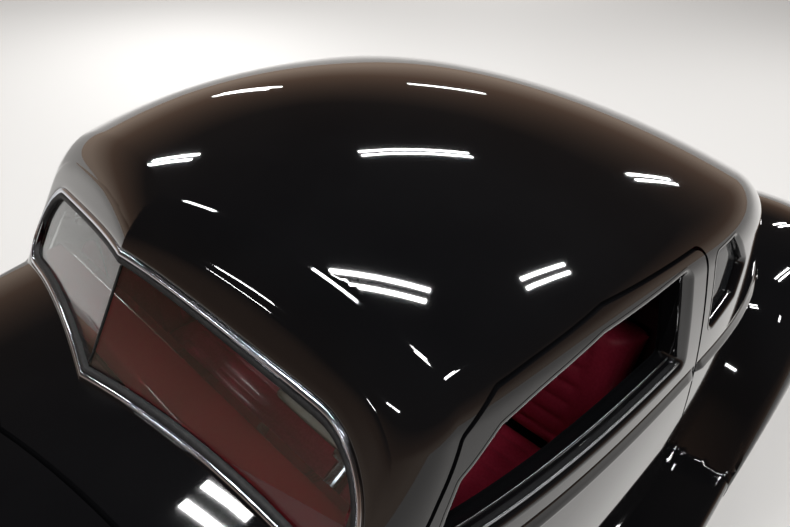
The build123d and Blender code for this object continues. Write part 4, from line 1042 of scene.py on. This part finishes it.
def screen_bands():
    """Rolled edge, bright bead and rubber round the windscreen, and the joint between its panes."""
    for name, material, section in SCREEN_BANDS:
        for half in screen_band(name, material, section):
            if name == "screen_bead":
                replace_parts(half, "windshield_trim")
    ridge = SCREEN_SIDE * RIDGE_LEAN + SCREEN_UP
    reaches = np.linspace(SCREEN_JOINT, SCREEN_TOP, 12)
    path = [SCREEN_POINT + ridge * reach - SCREEN_OUT * 8 for reach in reaches]
    path = np.array(path) * (1, 0, 1)
    bar("screen_joint", "chassis", path, 1.3, 1.6, "rubber")


def seats():
    """Bench with cross-wise rolls between plain bolsters."""
    for row in CUSHIONS:
        pad(*row)


def camera():
    """The photograph's camera."""
    yaw, pitch, roll = radians(CAMERA_YAW), radians(CAMERA_PITCH), radians(CAMERA_ROLL)
    ahead = Vector((cos(pitch) * cos(yaw), cos(pitch) * sin(yaw), sin(pitch)))
    level = ahead.cross(Vector((0, 0, 1))).normalized()
    up = level.cross(ahead)
    right = level * cos(roll) + up * sin(roll)
    top = up * cos(roll) - level * sin(roll)
    data = bpy.data.cameras.new("camera")
    data.lens = CAMERA_LENS
    data.sensor_width = 36
    data.clip_start = 0.05
    data.clip_end = 200
    obj = bpy.data.objects.new("camera", data)
    bpy.context.scene.collection.objects.link(obj)
    turn = Matrix((right, top, -ahead)).transposed().to_4x4()
    obj.matrix_world = Matrix.Translation(CAMERA_AT) @ turn
    bpy.context.scene.camera = obj


def studio():
    """Pale floor, dim warm surroundings and pairs of tube lamps overhead."""
    mesh = bpy.data.meshes.new("studio_floor")
    rim = [(FLOOR_R * cos(a), FLOOR_R * sin(a), 0) for a in np.linspace(0, 2 * pi, 128, endpoint=False)]
    mesh.from_pydata(rim, [], [tuple(range(128))])
    floor = bpy.data.objects.new("studio_floor", mesh)
    bpy.context.scene.collection.objects.link(floor)
    material = bpy.data.materials.new("floor_pale")
    tree, shader = node_tree(material)
    shader.inputs["Base Color"].default_value = FLOOR_COLOUR
    shader.inputs["Roughness"].default_value = 0.5
    mesh.materials.append(material)

    for x, y, z, turn, length in TUBES:
        for side in (-0.5, 0.5):
            data = bpy.data.lights.new("tube", "AREA")
            data.shape = "RECTANGLE"
            data.size = length
            data.size_y = TUBE_WIDTH
            data.energy = TUBE_POWER * length * z / 4.6
            lamp = bpy.data.objects.new("tube", data)
            angle = radians(turn)
            lamp.location = (x - sin(angle) * side * TUBE_APART, y + cos(angle) * side * TUBE_APART, z)
            lamp.rotation_euler = (0, 0, angle)
            lamp.visible_camera = False
            bpy.context.scene.collection.objects.link(lamp)
    data = bpy.data.lights.new("skylight", "SUN")
    data.angle = radians(SKYLIGHT_SPREAD)
    data.energy = SKYLIGHT_POWER
    lamp = bpy.data.objects.new("skylight", data)
    lamp.rotation_euler = (radians(SKYLIGHT_TILT[0]), radians(SKYLIGHT_TILT[1]), 0)
    lamp.visible_glossy = False
    bpy.context.scene.collection.objects.link(lamp)

    world = bpy.data.worlds.new("world")
    bpy.context.scene.world = world
    world.use_nodes = True
    tree = world.node_tree
    shade = tree.nodes["Background"]
    where = tree.nodes.new("ShaderNodeTexCoord")
    parts = tree.nodes.new("ShaderNodeSeparateXYZ")
    band = tree.nodes.new("ShaderNodeValToRGB")
    stops = band.color_ramp.elements
    for height, *colour in SURROUNDINGS[1:-1]:
        stops.new(height)
    for stop, (height, *colour) in zip(stops, SURROUNDINGS):
        stop.position = height
        stop.color = (*colour, 1)
    tree.links.new(where.outputs["Generated"], parts.inputs["Vector"])
    tree.links.new(parts.outputs["Z"], band.inputs["Fac"])
    tree.links.new(band.outputs["Color"], shade.inputs["Color"])


for material, painted in FINISHES.items():
    for name in painted:
        paint(nodes[name], material)
for end in ("front", "rear"):
    for side in ("left", "right"):
        paint(nodes[f"tyre_{end}_{side}"], "rubber")
        paint(nodes[f"wheel_{end}_{side}"], "wheel_paint")
for node, body, surface_names in PANELS:
    panel(node, body, surface_names)

reveal = window_reveal("reveal_door_left", "door_left", WINDOW_OUTLINE, WINDOW_CORNER, REVEAL)
mirrored_piece(reveal, "reveal_door_right", "door_right")
reveal = window_reveal("reveal_quarter_left", "chassis", QUARTER_OUTLINE, QUARTER_CORNER, QUARTER_REVEAL)
mirrored_piece(reveal, "reveal_quarter_right", "chassis")
for strip in sill_strips("door_left"):
    mirrored_piece(strip, strip.name + "_right", "door_right")
for name, body, first, last in BELTS:
    left = belt(name + "_left", body, first, last)
    mirrored_piece(left, name + "_right", body.replace("left", "right"))
screen_bands()
seats()
door_card()
dials()
steering_wheel()
tyres()
wheel_trims()
lamp_lenses()

camera()
studio()

bpy.context.scene.view_settings.view_transform = "Standard"
